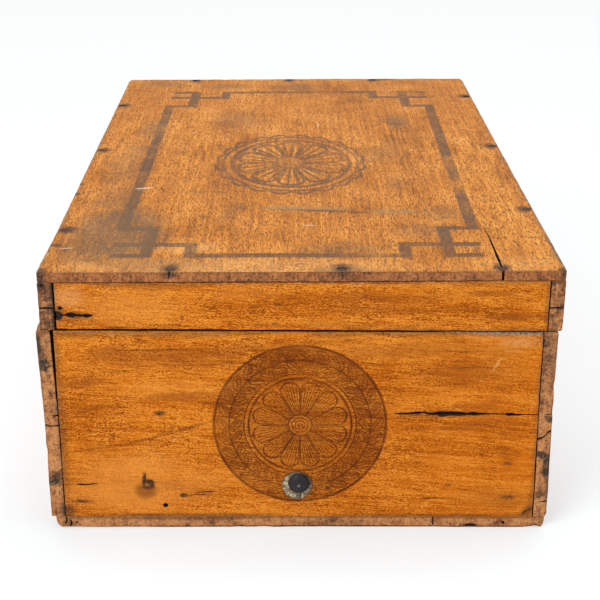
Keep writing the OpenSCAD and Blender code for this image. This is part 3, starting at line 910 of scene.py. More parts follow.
def sideMarks(place, colour):
    speck = cloud(place, 0.8, 3, 0.6)
    along = stretch(place, (0.012, 0.012, 0.034))
    blot = timesPlus(speck, 0.14, cloud(along, 1, 4, 0.62))
    colour = tint(fade(blot, 0.6, 0.74, 0.0, 0.6), colour, sideWearAndSeamShade["dirt"])
    rub = cloud(vector("ADD", along, (31, 7, 19)), 1, 4, 0.65)
    rub = times(fade(rub, 0.57, 0.72, 0.0, 0.5), fade(speck, 0.35, 0.6, 0.2, 1.0))
    colour = tint(rub, colour, sideWearAndSeamShade["rubbed"])
    slant = stretch(place, (0.02, 0.02, 0.9), (0, 0, 0), (14, 9, 0))
    scratch = times(fade(cloud(slant, 1, 1, 0.5), 0.74, 0.78, 0.0, 0.7), fade(speck, 0.4, 0.6))
    colour = tint(scratch, colour, sideWearAndSeamShade["scratch"])
    low = timesPlus(blot, 26.0, split(place)[2])
    return tint(fade(low, 14.0, 14.0 + sideWearAndSeamShade["footTop"], 0.6, 0.0), colour, sideWearAndSeamShade["foot"])


# painted shade along the outer edge of the rims, standing in for the shade in the seam where the lid meets
# the body
def seamShadeMarks(place, colour):
    fromMiddle = calc("ABSOLUTE", split(place)[1])
    return tint(fade(fromMiddle, 232.0, 235.5, 0.0, 0.9), colour, sideWearAndSeamShade["rim"])


# the boards of the body and the lid: body, grain, bare sides, look, seed, marks
calmFront = dict(frontLook, calm=(0, 10, 110, 0.52))  # axis, from, to, and how much fibre is left
calmTop = dict(topLook, calm=(1, -60, 200, 0.45))
boardList = {
    "bottom_board": ("box", "Y", ("+Z",), topLook, (40, 310, 70), None),
    "left_wall": ("box", "Y", ("+X", "+Z"), sideLook, (140, 20, 330), sideMarks),
    "right_wall": ("box", "Y", ("-X", "+Z"), sideLook, (410, 90, 120), sideMarks),
    "front_board": ("box", "X", ("+Y", "+Z"), calmFront, (25, 60, 18), frontMarks),
    "back_board": ("box", "X", ("-Y", "+Z"), frontLook, (510, 330, 44), sideMarks),
    "lid_top": ("lid", "Y", ("-Z",), calmTop, (12, 44, 9), topMarks),
    "lid_left_rail": ("lid", "Y", ("+X", "-Z"), sideLook, (220, 160, 45), sideMarks),
    "lid_right_rail": ("lid", "Y", ("-X", "-Z"), sideLook, (330, 270, 210), sideMarks),
    "lid_front_rail": ("lid", "X", ("+Y", "-Z"), frontLook, (75, 190, 260), railMarks),
    "lid_back_rail": ("lid", "X", ("-Y", "-Z"), frontLook, (620, 410, 300), sideMarks),
}
chipShare = {"front_board": 0.0, "lid_front_rail": 0.0, "lid_top": 0.15}
stripShade = {"lid_left_rail": 0.16, "lid_right_rail": 0.06, "lid_top": 0.09, "bottom_board": -0.1,
              "left_wall": -0.05, "right_wall": -0.05}
stripStainsAndShade = {
    "left_wall": [
        (-140.6, 103.4, 3.8, 4.6, 1.0, 0, 0.65), (-139.8, 31, 3.8, 4.4, 1.0, 35, 0.6),
        (-143.2, 115, 3.4, 9, 0.9, 0, 0.4), (-141.4, 110, 3.4, 8, 0.8, 0, 0.3), (-135.8, 14, 3, 6, 0.75),
        (-138, 118, 4, 3, 0.5), (-137, 10, 4, 3, 0.5), (-139, 98, 2, 4, 0.5),
    ],
    "right_wall": [
        (138.6, 46.8, 4.6, 2.6, 1.0, 8, 0.65), (141.6, 40, 3.2, 9, 1.0, 0, 0.65),
        (140.8, 69.2, 3.4, 2.6, 0.85, 20, 0.5), (141, 100, 2.4, 22, 0.5), (138, 110, 5, 22, 0.45),
        (135.6, 115.6, 2.4, 3.4, 0.95, 0, 0.6), (142.6, 24, 3, 12, 0.6),
    ],
    "lid_top": [
        (-140, 155, 4, 6, 0.9, 0, 0.4), (144.5, 156, 3.4, 5, 0.9, 0, 0.4), (95, 153, 5, 5, 0.6),
        (-40, 152, 30, 1.6, 0.5), (23, 157, 10, 4, 0.6), (-70, 156.5, 5, 3.4, 0.8),
    ],
    "lid_left_rail": [
        (-139.5, 150.5, 3.2, 2.2, 0.9, 0, 0.4), (-135, 136.6, 5, 5.5, 0.85, 0, 0.3),
        (-134, 142, 2.8, 14, 0.7), (-138, 131, 5, 5, 0.4), (-134.4, 127, 2.4, 5, 0.7),
    ],
    "lid_right_rail": [
        (144.4, 138, 3.4, 2.6, 0.9), (139, 151, 8, 2.4, 0.5), (145.6, 142, 1.8, 9, 0.85),
    ],
    "bottom_board": [
        (-60, 5.8, 60, 1.6, 0.5), (78, 4, 1.6, 4, 0.7), (20, 3, 34, 3, 0.35), (-133, 3.0, 6.5, 5, 0.6),
        # the long low row at z -0.6 is painted contact shade along the base's foot; the other rows are
        # stains
        (100, 1.4, 7, 2.2, 0.7), (0, -0.6, 220, 1.9, 0.95, 0, 0.5), (67.4, 5.6, 1.4, 1.2, 0.9),
    ],
}
boards = {}
for node, (body, grain, bare, look, seed, marks) in boardList.items():
    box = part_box(node)
    boards[node] = addBoard(node, chipShare.get(node, 1.0))
    insideSeed = tuple(s + 700 for s in seed)
    # the inside rims of the front board and front rail get the painted seam shade
    insideSeamShade = seamShadeMarks if node in ("front_board", "lid_front_rail") else None
    paintFaces(boards[node], grain, bare, [
        woodMaterial(node + "_face", look, grain, seed, box, marks),
        endGrainMaterial(node + "_end", topEndLook if node == "lid_top" else endLook, seed, box,
                         stripShade.get(node, 0.0), frontSpots(stripStainsAndShade.get(node, ()))),
        woodMaterial(node + "_inside", innerLook, grain, insideSeed, box, insideSeamShade),
        darkCrack,
    ])
print("boards worn:", len(boards))


# broken and rounded corners, with their reach in millimetres
topLow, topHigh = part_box("lid_top")
baseLow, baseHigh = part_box("bottom_board")
for cornerX in (topLow.x, topHigh.x):
    roundCorner("lid_top", 1, (cornerX, topHigh.y), (4, 11))
    roundCorner("lid_top", 1, (cornerX, topLow.y), (1.6, 1.6))
roundCorner("lid_right_rail", 2, (topHigh.x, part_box("lid_right_rail")[0].z), (1.6, 2.4), True)
roundCorner("right_wall", 2, (baseHigh.x, baseHigh.z), (2.5, 5), True)
roundCorner("bottom_board", 2, (baseLow.x, 0.0), (5.5, 5.5), True)
roundCorner("bottom_board", 2, (baseHigh.x, 0.0), (4.5, 4.5), True)
roundCorner("bottom_board", 1, (baseLow.x, baseLow.y), (5, 5))
roundCorner("bottom_board", 1, (baseHigh.x, baseLow.y), (4, 4))

# the box has racked with age: its front end leans, its seam slopes and one edge is rubbed to a slope
racked = {
    "leftLean": 1.3 * mm, "rightLean": 0.55 * mm, "rightIn": 0.15 * mm, "jointIn": 0.6 * mm,
    "railJoint": 0.5 * mm, "railStep": 0.1 * mm, "baseIn": 1.8 * mm, "rubbed": 1.6 * mm, "lidLeft": 0.7 * mm,
    "footOut": 1.8 * mm, "footLift": 0.6 * mm, "backLift": 1.0 * mm, "halfWide": 0.135,
    "stepTop": 136.8 * mm, "stepBack": -226 * mm,
    "seam": (0.7 * mm, -1.1 * mm), "base": (0.6 * mm, -0.5 * mm), "top": (0.55 * mm, 0.3 * mm),
}
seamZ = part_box("front_board")[1].z
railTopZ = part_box("lid_front_rail")[1].z
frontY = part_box("front_board")[0].y
frontEnd = (1, -0.17, -0.236)
lowRight = (2, 0.11, 0)


def rack(nodes, *rules):  # a rule: which way, how far, and the spans (axis, from, to) over which it grows
    for vertex in [v for node in nodes for v in boards[node].data.vertices]:
        shift = Vector()
        for way, far, *spans in rules:
            if isinstance(far, tuple):  # a lift that tilts across the width
                far = far[0] + far[1] * vertex.co.x / racked["halfWide"]
            for axis, first, last in spans:
                far *= smoothStep(vertex.co[axis], first, last)
            shift += way * far
        vertex.co += shift


for vertex in boards["front_board"].data.vertices:
    slope = max(0, vertex.co.z - seamZ + racked["rubbed"]) * smoothStep(vertex.co.x, 0.07, 0.082)
    vertex.co += yWay * max(0, frontY + slope - vertex.co.y)
for vertex in boards["lid_right_rail"].data.vertices:
    if vertex.co.z < racked["stepTop"] and vertex.co.y < racked["stepBack"]:
        vertex.co -= xWay * racked["railStep"]
bodyFront = ("front_board", "left_wall", "right_wall")
lidFront = ("lid_front_rail", "lid_left_rail", "lid_right_rail")
rack(["front_board"], (xWay, racked["rightIn"], (0, 0.1, 0.135)),
     (xWay, racked["rightLean"], lowRight, (0, 0.1, 0.135)))
rack(["lid_front_rail"], (-xWay, racked["railJoint"], (0, -0.1, -0.133)))
rack(["front_board"], (-xWay, racked["jointIn"], (0, -0.1, -0.135)))
rack(["left_wall"], (-xWay, racked["leftLean"], (2, 0.066, seamZ), frontEnd))
rack(["right_wall"], (xWay, racked["rightLean"], lowRight, frontEnd))
rack(["bottom_board"], (xWay, racked["baseIn"], (0, -0.12, -0.143), frontEnd))
rack(bodyFront, (zWay, racked["seam"], (2, 0.06, seamZ), frontEnd))
rack(bodyFront, (zWay, racked["base"], (2, 0.03, baseHigh.z), frontEnd))
rack(lidFront, (zWay, racked["seam"], (2, railTopZ, seamZ), frontEnd))
rack((*lidFront, "lid_top"),
     (zWay, racked["top"], (2, 0.138, railTopZ), (2, topHigh.z, railTopZ), frontEnd))
backRise = ((2, 0.135, railTopZ), (1, 0.0, 0.23))
rack(("lid_top", "lid_back_rail", "lid_left_rail", "lid_right_rail"),
     (zWay, racked["backLift"] * 0.35, *backRise),
     (zWay, racked["backLift"] * 0.65, *backRise, (0, -0.14, 0.145)))
rack(("lid_top", "lid_left_rail"), (-xWay, racked["lidLeft"], (0, -0.118, -0.139), frontEnd))
rack(["bottom_board"], (zWay, racked["base"], (2, 0.003, baseHigh.z), frontEnd),
     (zWay, racked["footLift"], (0, -0.02, -0.143), (2, 0.005, 0.0), frontEnd))
for vertex in boards["bottom_board"].data.vertices:
    vertex.co.z = max(vertex.co.z, 0)
print("boards racked")

# cracks, splits, pockets and hinge recesses
topZ = topHigh.z
frontAt = Vector((0, frontY, 0))


def addHole(x, z, radius, depth):  # a small hole in what faces the front, in millimetres
    return addPocket(Vector((x * mm, frontY, z * mm)), -yWay, radius * mm, depth * mm)


checkStations = [
    (53.6, 72.9, 0.5), (57, 73.0, 1.3), (61, 73.0, 1.3), (64.6, 73.3, 1.7), (67.4, 73.4, 1.9),
    (69.4, 73.7, 1.2), (71, 73.6, 1.6), (73, 73.0, 1.7), (75, 72.7, 1.6), (77.2, 73.0, 2.1),
    (78.4, 73.0, 3.6), (80, 72.8, 4.4), (83, 72.8, 3.7), (86.4, 72.9, 3.4), (90, 72.7, 3.0),
    (93.2, 72.7, 2.3), (95, 72.7, 1.5), (97, 72.8, 2.4), (98.6, 72.8, 2.5), (101, 72.7, 1.5),
    (103, 72.8, 1.7), (105.4, 72.7, 1.2), (108, 72.7, 0.8), (116, 72.6, 0.8), (117.8, 72.3, 2.1),
    (120.2, 72.4, 2.5), (122, 72.2, 1.3), (123.8, 72.2, 1.5), (126, 72.2, 0.8), (136, 72.1, 0.7),
]
shortCracks = [
    [(-127.8, 28.8, 0.5), (-125, 28.7, 1.7), (-121, 28.5, 1.6), (-118, 28.9, 1.8), (-115, 29.0, 0.7)],
    [(-64, 21.0, 0.3), (-59, 21.5, 0.8), (-54, 21.8, 0.8), (-51, 22.0, 0.3)],
    [(-60, 22.6, 0.3), (-55, 23.2, 0.9), (-50.5, 23.6, 0.8), (-48.5, 23.8, 0.3)],
    [(129.2, 9.4, 0.5), (130.6, 10.2, 1.7), (132.4, 11.4, 1.3), (135.8, 13.6, 0.6)],
    [(70.8, 19.2, 0.5), (73.2, 19.1, 1.4), (78, 19.2, 1.0), (83, 19.2, 0.8), (89, 19.2, 0.3)],
]
carve(boards["front_board"], [
    addSliver(checkStations, frontAt, 3.0 * mm, taper=0.5, jag=0.15),
    *[addSliver(stations, frontAt, 0.9 * mm) for stations in shortCracks],
    addHole(-76.8, 14.8, 1.45, 4),
])

railSplit = [
    (-134.5, 133.1, 6.4), (-131.6, 133.1, 6.6), (-130.1, 133.1, 5.4), (-129.2, 133.2, 3.8),
    (-128.5, 133.3, 1.8), (-127.8, 133.4, 0.9), (-126.8, 133.5, 1.8), (-125.2, 133.4, 3.4),
    (-123.4, 133.4, 3.8), (-121.9, 133.4, 2.3), (-120.7, 133.2, 1.5), (-119.2, 133.0, 2.1),
    (-118, 133.0, 1.2), (-116.6, 132.8, 2.6), (-115.4, 132.8, 2.9), (-114, 132.9, 2.0), (-112.2, 133.0, 0.4),
]
carve(boards["lid_front_rail"], [
    addSliver(railSplit, frontAt, 2.2 * mm, taper=0.5, jag=0.12),
    addHole(-129.9, 137.5, 1.1, 1.2),
])

topSplit = [
    (-240, 110.3, 2.0), (-234, 110.4, 1.6), (-228, 110.5, 1.2), (-222, 110.6, 1.5), (-214, 110.4, 1.5),
    (-204, 110.6, 1.5), (-192, 110.4, 1.1), (-178, 110.4, 0.8), (-160, 109.9, 0.25),
]
topNotch = [(154.6, -70.3, 0.3), (156.2, -70.1, 0.9), (157.4, -69.9, 1.6), (159, -69.8, 2.4)]
carve(boards["lid_top"], [addSliver(topSplit, Vector((0, 0, topZ)), 5.6 * mm, yWay, xWay, -zWay, 0.8)])
carve(boards["lid_top"], pockets(topHeads, zWay, topZ))
carve(boards["lid_top"], [addSliver(topNotch, frontAt, 2.4 * mm, zWay, xWay)])

stripCracks = {
    "left_wall": [
        [(-138.8, 72.6, 0.3), (-136.6, 72.2, 1.0), (-134, 72.8, 2.0)],
        [(-144.5, 67.2, 0.6), (-142.4, 66.8, 1.2), (-140, 65.8, 1.1), (-137.6, 66.2, 0.8),
         (-134, 66.0, 1.5)],
    ],
    "right_wall": [
        [(134, 56.4, 1.4), (137, 57.4, 1.4), (139.4, 58.6, 1.3), (141, 61.0, 1.4), (144.8, 63.4, 1.5)],
        [(138, 72.0, 0.4), (141, 72.2, 0.8), (144.5, 72.6, 0.9)],
        [(138.5, 16.6, 0.5), (141, 17.2, 1.1), (144.8, 17.4, 1.4)],
    ],
    "lid_left_rail": [[(-143, 137.2, 0.9), (-138, 137.6, 1.2), (-132, 137.2, 1.0)]],
    "lid_right_rail": [[(136, 136.6, 0.9), (141, 137.0, 1.2), (147, 136.6, 1.2)]],
}
wallHeads = {
    "left_wall": (leftHeads, -xWay), "right_wall": (rightHeads, xWay),
    "lid_left_rail": (lidLeftHeads, -xWay), "lid_right_rail": (lidRightHeads, xWay),
}
hingeLeaves = {
    "right_wall": ("front_hinge_body_leaf", "rear_hinge_body_leaf"),
    "lid_right_rail": ("front_hinge_lid_leaf", "rear_hinge_lid_leaf"),
}
for node, cracks in stripCracks.items():
    heads, outward = wallHeads[node]
    low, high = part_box(node)
    cutters = [addSliver(stations, frontAt, 3.5 * mm) for stations in cracks]
    cutters += pockets(heads, outward, high.x if outward.x > 0 else low.x)
    if node == "lid_left_rail":
        cutters.append(addHole(-139.4, 150.8, 1.0, 1))
    cutters += [leafRecess(leaf) for leaf in hingeLeaves.get(node, ())]
    carve(boards[node], cutters)
baseCracks = [
    (zWay, xWay, [(-0.5, 77.7, 0.9), (2, 78.0, 0.6), (4, 77.6, 0.9), (7.8, 77.8, 1.1)]),
    (xWay, zWay, [(96.2, 1.5, 0.4), (97.4, 1.6, 2.0), (99.8, 1.7, 2.4), (102, 1.6, 2.1), (103.4, 1.5, 0.5)]),
    (zWay, xWay, [(0.6, -133.4, 0.4), (1.6, -132.2, 1.2), (3.2, -131.7, 1.5), (4.8, -131.9, 1.2),
                  (6.2, -132.9, 0.5)]),
    (zWay, xWay, [(2.6, -135.2, 0.3), (3.6, -134.6, 1.0), (5.4, -134.2, 1.1), (7.8, -134.4, 0.9)]),
    (xWay, zWay, [(-129.6, 3.8, 0.4), (-129, 3.9, 1.3), (-128.2, 3.8, 1.2), (-127.6, 3.7, 0.4)]),
    (xWay, zWay, [(-127.4, 2.2, 0.4), (-126.8, 2.3, 1.1), (-126.2, 2.2, 0.4)]),
]
carve(boards["bottom_board"], [
    *pockets(bottomHeads, -zWay, 0.0),
    *[addSliver(stations, frontAt, 2.6 * mm, along, across) for along, across, stations in baseCracks],
    addHole(118.7, 3.2, 1.0, 3),
])
rack(("front_board", "right_wall", "bottom_board"),
     (-yWay, racked["footOut"], (0, 0.0, 0.143), (2, 0.09, 0.01), frontEnd))

for node, board in boards.items():
    finishPiece(board, node + "_worn", boardList[node][0], node, 38)
    print(node, len(board.data.polygons), "faces")


# iron
def ironMaterial(name, colours, shine, rusted, metal=0.55, gloss=0.5, wear=None):
    material, shader = newMaterial(name)
    dark, mid, rust = [srgb(*colour) for colour in colours]
    place = millimetres()
    patch = cloud(place, 0.32, 4, 0.62)
    speck = cloud(place, 2.2, 3, 0.6)
    colour = ramp(patch, (0.32, dark), (0.68, mid))
    bloom = fade(timesPlus(speck, 0.35, patch), 0.62 - rusted, 0.86 - rusted)
    colour = tint(times(bloom, 0.8), colour, rust)
    rough = timesPlus(bloom, 0.35, shine)
    # wear also paints highlight and shade on the stud and washer
    if wear:
        colour = wear(place, speck, colour)
    feedNamed(shader, {"Metallic": metal, "Specular IOR Level": gloss})
    surface(shader, colour, rough, timesPlus(speck, 0.4, patch), 0.5, 0.0005)
    return material


# the stud's tip carries a painted highlight; the washer has dark tarnish blotches, bright rubbed patches
# that also serve as painted highlight, and painted shade on its upper right side and along its rim
studWearAndLight = {"tip": srgb(128, 118, 108), "tipReach": 2.0, "shadeWay": (0.55, 0.0, 0.8),
            "rubbed": srgb(226, 212, 184), "rim": srgb(58, 42, 30)}


def fromAxis(place, node):
    low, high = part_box(node)
    centre = (low + high) * 500
    flat = vector("MULTIPLY", vector("SUBTRACT", place, centre), (1, 0, 1))
    return flat, vector("LENGTH", flat), (high.x - low.x) * 500


# a painted highlight at the dome's tip
def tipHighlight(place, speck, colour):
    far = fromAxis(place, "stud_bolt")[1]
    tip = fade(timesPlus(speck, 1.2, far), 0.7, studWearAndLight["tipReach"], 0.8, 0.0)
    return tint(tip, colour, studWearAndLight["tip"])


def washerWearAndLight(place, speck, colour):
    flat, far, radius = fromAxis(place, "stud_washer")
    blotch = cloud(vector("ADD", place, (19, 7, 31)), 0.55, 3, 0.65)
    # bright rubbed patches, which also serve as painted highlight
    colour = tint(fade(blotch, 0.5, 0.66, 0.0, 0.8), colour, studWearAndLight["rubbed"])
    colour = tint(fade(blotch, 0.3, 0.44, 0.75, 0.0), colour, studWearAndLight["rim"])
    # painted shade, darker towards the upper right side
    slant = timesPlus(blotch, 6.0, vector("DOT_PRODUCT", flat, studWearAndLight["shadeWay"]))
    colour = tint(fade(slant, 3.0, 8.0, 0.0, 0.7), colour, studWearAndLight["rim"])
    # painted shade along the outer rim
    rim = fade(timesPlus(speck, 1.6, far), radius - 0.2, radius + 0.9, 0.0, 0.75)
    return tint(rim, colour, studWearAndLight["rim"])


ironLooks = {  # dark, mid and rust colours, roughness, how rusted, then metal, gloss and wear, where the wear of the stud and washer also paints highlight and shade
    "hinge_iron": (((52, 44, 40), (86, 72, 62), (112, 68, 40)), 0.45, 0.06),
    "pin_iron": (((60, 54, 50), (98, 88, 80), (104, 64, 40)), 0.38, 0.0),
    "screw_iron": (((56, 48, 42), (96, 82, 70), (120, 72, 42)), 0.42, 0.08),
    "nail_iron": (((44, 36, 34), (74, 60, 54), (96, 56, 38)), 0.55, 0.1),
    "stud_iron": (((19, 16, 18), (48, 41, 44), (76, 58, 54)), 0.5, -0.1, 0.2, 0.3, tipHighlight),
    "nut_iron": (((58, 50, 46), (92, 80, 70), (116, 70, 42)), 0.48, 0.06),
    "washer_tin": (((112, 92, 68), (186, 166, 132), (66, 48, 36)), 0.5, 0.02, 0.55, 0.5, washerWearAndLight),
}
irons = {name: ironMaterial(name, *look) for name, look in ironLooks.items()}
plainIron = {
    "hinge_iron": ("front_hinge_body_leaf", "rear_hinge_body_leaf", "front_hinge_lid_leaf",
                   "rear_hinge_lid_leaf"),
    "pin_iron": ("front_hinge_pin", "rear_hinge_pin"),
    "screw_iron": ("body_hinge_screws", "lid_hinge_screws"), "nut_iron": ("stud_nut",),
}
for name, nodes in plainIron.items():
    for node in nodes:
        for slot in frame["nodes"][node].material_slots:
            slot.material = irons[name]
print("iron ready")

# nails: one is modelled and copied to each head
nailShape = {"sunk": 0.5 * mm, "head": 2.45 * mm, "thick": 1.0 * mm, "shank": 0.95 * mm, "long": 16 * mm,
             "crown": 0.35 * mm, "dented": 2 * mm}


def addNail():
    nail = addShape(bpy.ops.mesh.primitive_cylinder_add, vertices=16, radius=nailShape["head"],
                    depth=nailShape["thick"], location=(0, 0, -nailShape["thick"] / 2))
    placeInMesh(nail)
    bpy.ops.object.mode_set(mode="EDIT")
    selectParts(nail, "FACE", lambda face: face.normal.z < -0.99)
    bpy.ops.mesh.inset(thickness=nailShape["head"] - nailShape["shank"])
    for share in (0.8, 0.2):
        shift = (0, 0, -nailShape["long"] * share)
        bpy.ops.mesh.extrude_region_move(TRANSFORM_OT_translate={"value": shift})
    bpy.ops.transform.resize(value=(0.15, 0.15, 1))
    selectParts(nail, "FACE", lambda face: face.normal.z > 0.99)
    for inset, rise in ((0.3, 0.6), (0.35, 0.4)):
        bpy.ops.mesh.inset(thickness=nailShape["head"] * inset)
        bpy.ops.transform.translate(value=(0, 0, nailShape["crown"] * rise))
    bpy.ops.object.mode_set(mode="OBJECT")
    nail.data.materials.append(irons["nail_iron"])
    return nail


def addNailGroup(node, body, spots):
    pattern = addNail()
    copies = []
    for head, outward in spots:
        copy = pattern.copy()
        copy.data = pattern.data.copy()
        bpy.context.scene.collection.objects.link(copy)
        spin = Matrix.Rotation(nailDraw.uniform(0, math.tau), 4, "Z")
        lean = Matrix.Rotation(nailDraw.uniform(-0.08, 0.08), 4, "X")
        aim = zWay.rotation_difference(outward).to_matrix().to_4x4()
        for vertex in copy.data.vertices:
            if vertex.co.z > -nailShape["dented"]:
                vertex.co.x *= nailDraw.uniform(0.9, 1.08)
                vertex.co.y *= nailDraw.uniform(0.9, 1.08)
                vertex.co.z += nailDraw.uniform(-0.1, 0.1) * mm
        seat = head - outward * nailShape["sunk"] * (outward.z < 0)
        copy.data.transform(Matrix.Translation(seat) @ aim @ lean @ spin)
        copies.append(copy)
    bpy.data.objects.remove(pattern)
    finishPiece(joinPieces(copies), node + "_set", body, node, 40)


addNailGroup("lid_top_nails", "lid", [(h, zWay) for h in topHeads])
addNailGroup("bottom_nails", "box", [(h, -zWay) for h in bottomHeads])
addNailGroup("body_corner_nails", "box", [(h, -xWay) for h in leftHeads] + [(h, xWay) for h in rightHeads])
addNailGroup("lid_corner_nails", "lid",
             [(h, -xWay) for h in lidLeftHeads] + [(h, xWay) for h in lidRightHeads])
print("nails set")

# the stud: a hammered dome on a shank, over a dented washer
studShape = {"bumpSize": 0.0042, "bump": 0.5 * mm, "shank": 2.45 * mm, "lip": 0.15 * mm, "tip": 0.3 * mm,
             "tipReach": (0.2 * mm, 1.1 * mm)}
washerShape = {"bumpSize": 0.006, "bump": 0.3 * mm, "hole": 4.35 * mm, "bevel": 0.35 * mm,
               "rimWave": 0.16 * mm, "waveFrom": 6 * mm}


def addStud():
    low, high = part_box("stud_bolt")
    middleX, middleZ = [(low[axis] + high[axis]) / 2 for axis in (0, 2)]
    radius = (high.x - low.x) / 2
    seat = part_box("stud_washer")[0].y
    stud = addShape(bpy.ops.mesh.primitive_uv_sphere_add, segments=40, ring_count=24, radius=radius,
                    rotation=(math.pi / 2, 0, 0))
    placeInMesh(stud)
    stud.scale = (1, (seat - low.y) / radius, 1)
    stud.location = (middleX, seat, middleZ)
    placeInMesh(stud)
    bpy.ops.object.mode_set(mode="EDIT")
    bpy.ops.mesh.select_all(action="SELECT")
    lip = yWay * (seat - studShape["lip"])
    bpy.ops.mesh.bisect(plane_co=lip, plane_no=yWay, clear_outer=True, use_fill=True)
    bpy.ops.mesh.select_mode(type="FACE")
    bpy.ops.mesh.inset(thickness=radius - studShape["shank"])
    bpy.ops.mesh.extrude_region_move(TRANSFORM_OT_translate={"value": (0, high.y - seat, 0)})
    bpy.ops.object.mode_set(mode="OBJECT")
    group = stud.vertex_groups.new(name="dome")
    for vertex in stud.data.vertices:
        group.add([vertex.index], 1.0 if vertex.co.y < seat else 0.0, "REPLACE")
    hammer = wearTexture("stud_hammer", studShape["bumpSize"], 2, 1.5, 1.0)
    displace(stud, hammer, -studShape["bump"], 0.5, "dome")
    for vertex in stud.data.vertices:
        far = math.hypot(vertex.co.x - middleX, vertex.co.z - middleZ)
        if vertex.co.y < seat:
            vertex.co.y -= studShape["tip"] * (1 - smoothStep(far, *studShape["tipReach"]))
    stud.data.materials.append(irons["stud_iron"])
    finishPiece(stud, "stud_bolt_domed", "box", "stud_bolt", 45)


def addWasher():
    low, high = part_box("stud_washer")
    middle = (low + high) / 2
    radius = (high.x - low.x) / 2
    washer = addShape(bpy.ops.mesh.primitive_cylinder_add, vertices=48, radius=radius, depth=high.y - low.y,
                      location=middle, rotation=(math.pi / 2, 0, 0))
    placeInMesh(washer)
    bpy.ops.object.mode_set(mode="EDIT")
    selectParts(washer, "FACE", lambda face: abs(face.normal.y) > 0.9)
    bpy.ops.mesh.inset(thickness=radius - washerShape["hole"], use_individual=True)
    bpy.ops.mesh.bridge_edge_loops()
    selectParts(washer, "EDGE", lambda edge: abs((edge.verts[0].co - edge.verts[1].co).y) < 1e-6
                and abs(((edge.verts[0].co + edge.verts[1].co) / 2 - middle).length - radius) < 0.6 * mm
                and edge.calc_length() < 2 * mm)
    bpy.ops.mesh.bevel(offset=washerShape["bevel"], segments=3, affect="EDGES")
    selectParts(washer, "EDGE", lambda edge: edge.calc_length() > 3 * mm)
    bpy.ops.mesh.subdivide(number_cuts=5)
    bpy.ops.object.mode_set(mode="OBJECT")
    for vertex in washer.data.vertices:
        away = vertex.co - middle
        away.y = 0
        angle = math.atan2(away.z, away.x)
        wave = math.sin(3 * angle + 0.6) + 0.6 * math.sin(5 * angle + 2.0) + 0.4 * math.sin(11 * angle)
        wave *= washerShape["rimWave"] * smoothStep(away.length, washerShape["waveFrom"], radius)
        vertex.co += away.normalized() * wave
    dents = wearTexture("washer_dents", washerShape["bumpSize"], 2, 1.4, 1.0)
    displace(washer, dents, -washerShape["bump"], 0.3)
    washer.data.materials.append(irons["washer_tin"])
    finishPiece(washer, "stud_washer_dented", "box", "stud_washer", 45)


addStud()
addWasher()
print("stud set")

# floor, world and lamps
stageSet = {"floorSize": 14.0, "seenFront": 0.44, "seenSide": 0.68, "seenFar": 0.8, "seenReach": 0.4,
            "floorColour": srgb(238, 248, 252), "floorZ": -0.05 * mm,
            "foot": (0.143, 0.238, 10), "fill": 0.592}


def seenRay():
    rays = addNode("ShaderNodeLightPath").outputs
    seen = larger(rays["Is Camera Ray"], rays["Is Glossy Ray"])
    return larger(seen, rays["Is Transmission Ray"])


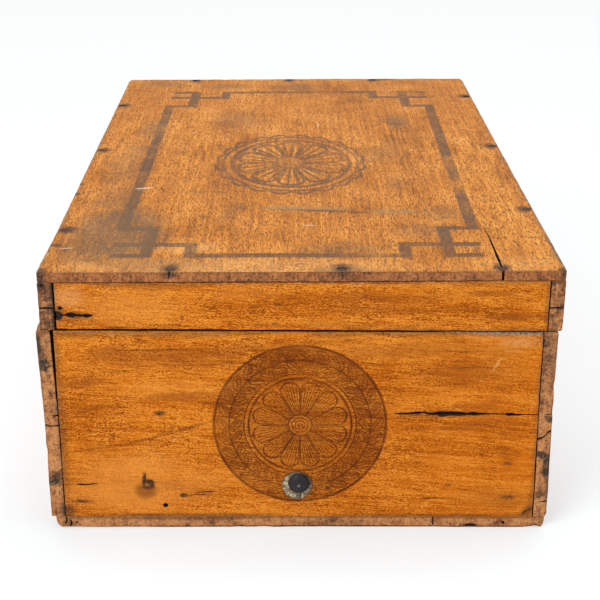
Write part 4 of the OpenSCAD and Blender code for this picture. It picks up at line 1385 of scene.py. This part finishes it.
def addFloor():
    floor = addShape(bpy.ops.mesh.primitive_plane_add, size=stageSet["floorSize"],
                     location=(0, 0, stageSet["floorZ"]))
    floor.name = "studio_floor"
    material = bpy.data.materials.new("studio_floor_white")
    output = startTree(material, "ShaderNodeOutputMaterial")
    matte = addNode("ShaderNodeBsdfDiffuse")
    feedRow(matte, stageSet["floorColour"])
    spot = addNode("ShaderNodeTexCoord").outputs["Object"]
    past = vector("SUBTRACT", vector("ABSOLUTE", spot), stageSet["foot"])
    away = vector("LENGTH", vector("MAXIMUM", past, (0, 0, 0)))
    near = fade(split(spot)[1], -0.27, -0.02, stageSet["seenFront"], stageSet["seenSide"])
    share = fade(away, 0.0, stageSet["seenReach"], near, stageSet["seenFar"])
    mixer = addNode("ShaderNodeMixShader")
    glow = addNode("ShaderNodeEmission")
    feedRow(mixer, times(seenRay(), share), matte.outputs[0], glow.outputs[0])
    feedRow(output, mixer.outputs[0])
    floor.data.materials.append(material)


def setWorld():
    world = bpy.data.worlds.new("studio_white")
    bpy.context.scene.world = world
    output = startTree(world, "ShaderNodeOutputWorld")
    back = addNode("ShaderNodeBackground")
    feedRow(back, (1, 1, 1, 1), fade(seenRay(), 0.0, 1.0, stageSet["fill"], 1.0))
    feedRow(output, back.outputs[0])


def addLamp(name, place, aim, size, power):
    data = bpy.data.lights.new(name, "AREA")
    data.shape = "SQUARE"
    data.size = size
    data.energy = power
    lamp = bpy.data.objects.new(name, data)
    lamp.location = place
    lamp.rotation_euler = (Vector(aim) - Vector(place)).to_track_quat("-Z", "Y").to_euler()
    bpy.context.scene.collection.objects.link(lamp)


addFloor()
setWorld()
addLamp("softbox_left", (-1.3, -1.6, 1.7), (0, 0, 0.08), 1.4, 36)
addLamp("softbox_above", (0.3, 0.3, 2.0), (0, 0, 0.1), 1.6, 20)

# camera, from the box's corners in the photograph
lensSet = {"place": (-6.96, -927.006, 414.222), "yaw": -0.628, "pitch": 21.57, "roll": -0.069,
           "lens": 81.806}
cameraData = bpy.data.cameras.new("photo_camera")
cameraData.lens = lensSet["lens"]
cameraData.sensor_width = 36
cameraData.clip_start = 0.01
camera = bpy.data.objects.new("photo_camera", cameraData)
yaw = Matrix.Rotation(math.radians(lensSet["yaw"]), 4, "Z")
pitch = Matrix.Rotation(math.radians(-lensSet["pitch"]), 4, "X")
roll = Matrix.Rotation(math.radians(lensSet["roll"]), 4, "Y")
upright = Matrix.Rotation(math.radians(90), 4, "X")
camera.matrix_world = Matrix.Translation(Vector(lensSet["place"]) * mm) @ yaw @ pitch @ roll @ upright
bpy.context.scene.collection.objects.link(camera)
bpy.context.scene.camera = camera
bpy.context.scene.view_settings.view_transform = "Standard"
print("stage set")
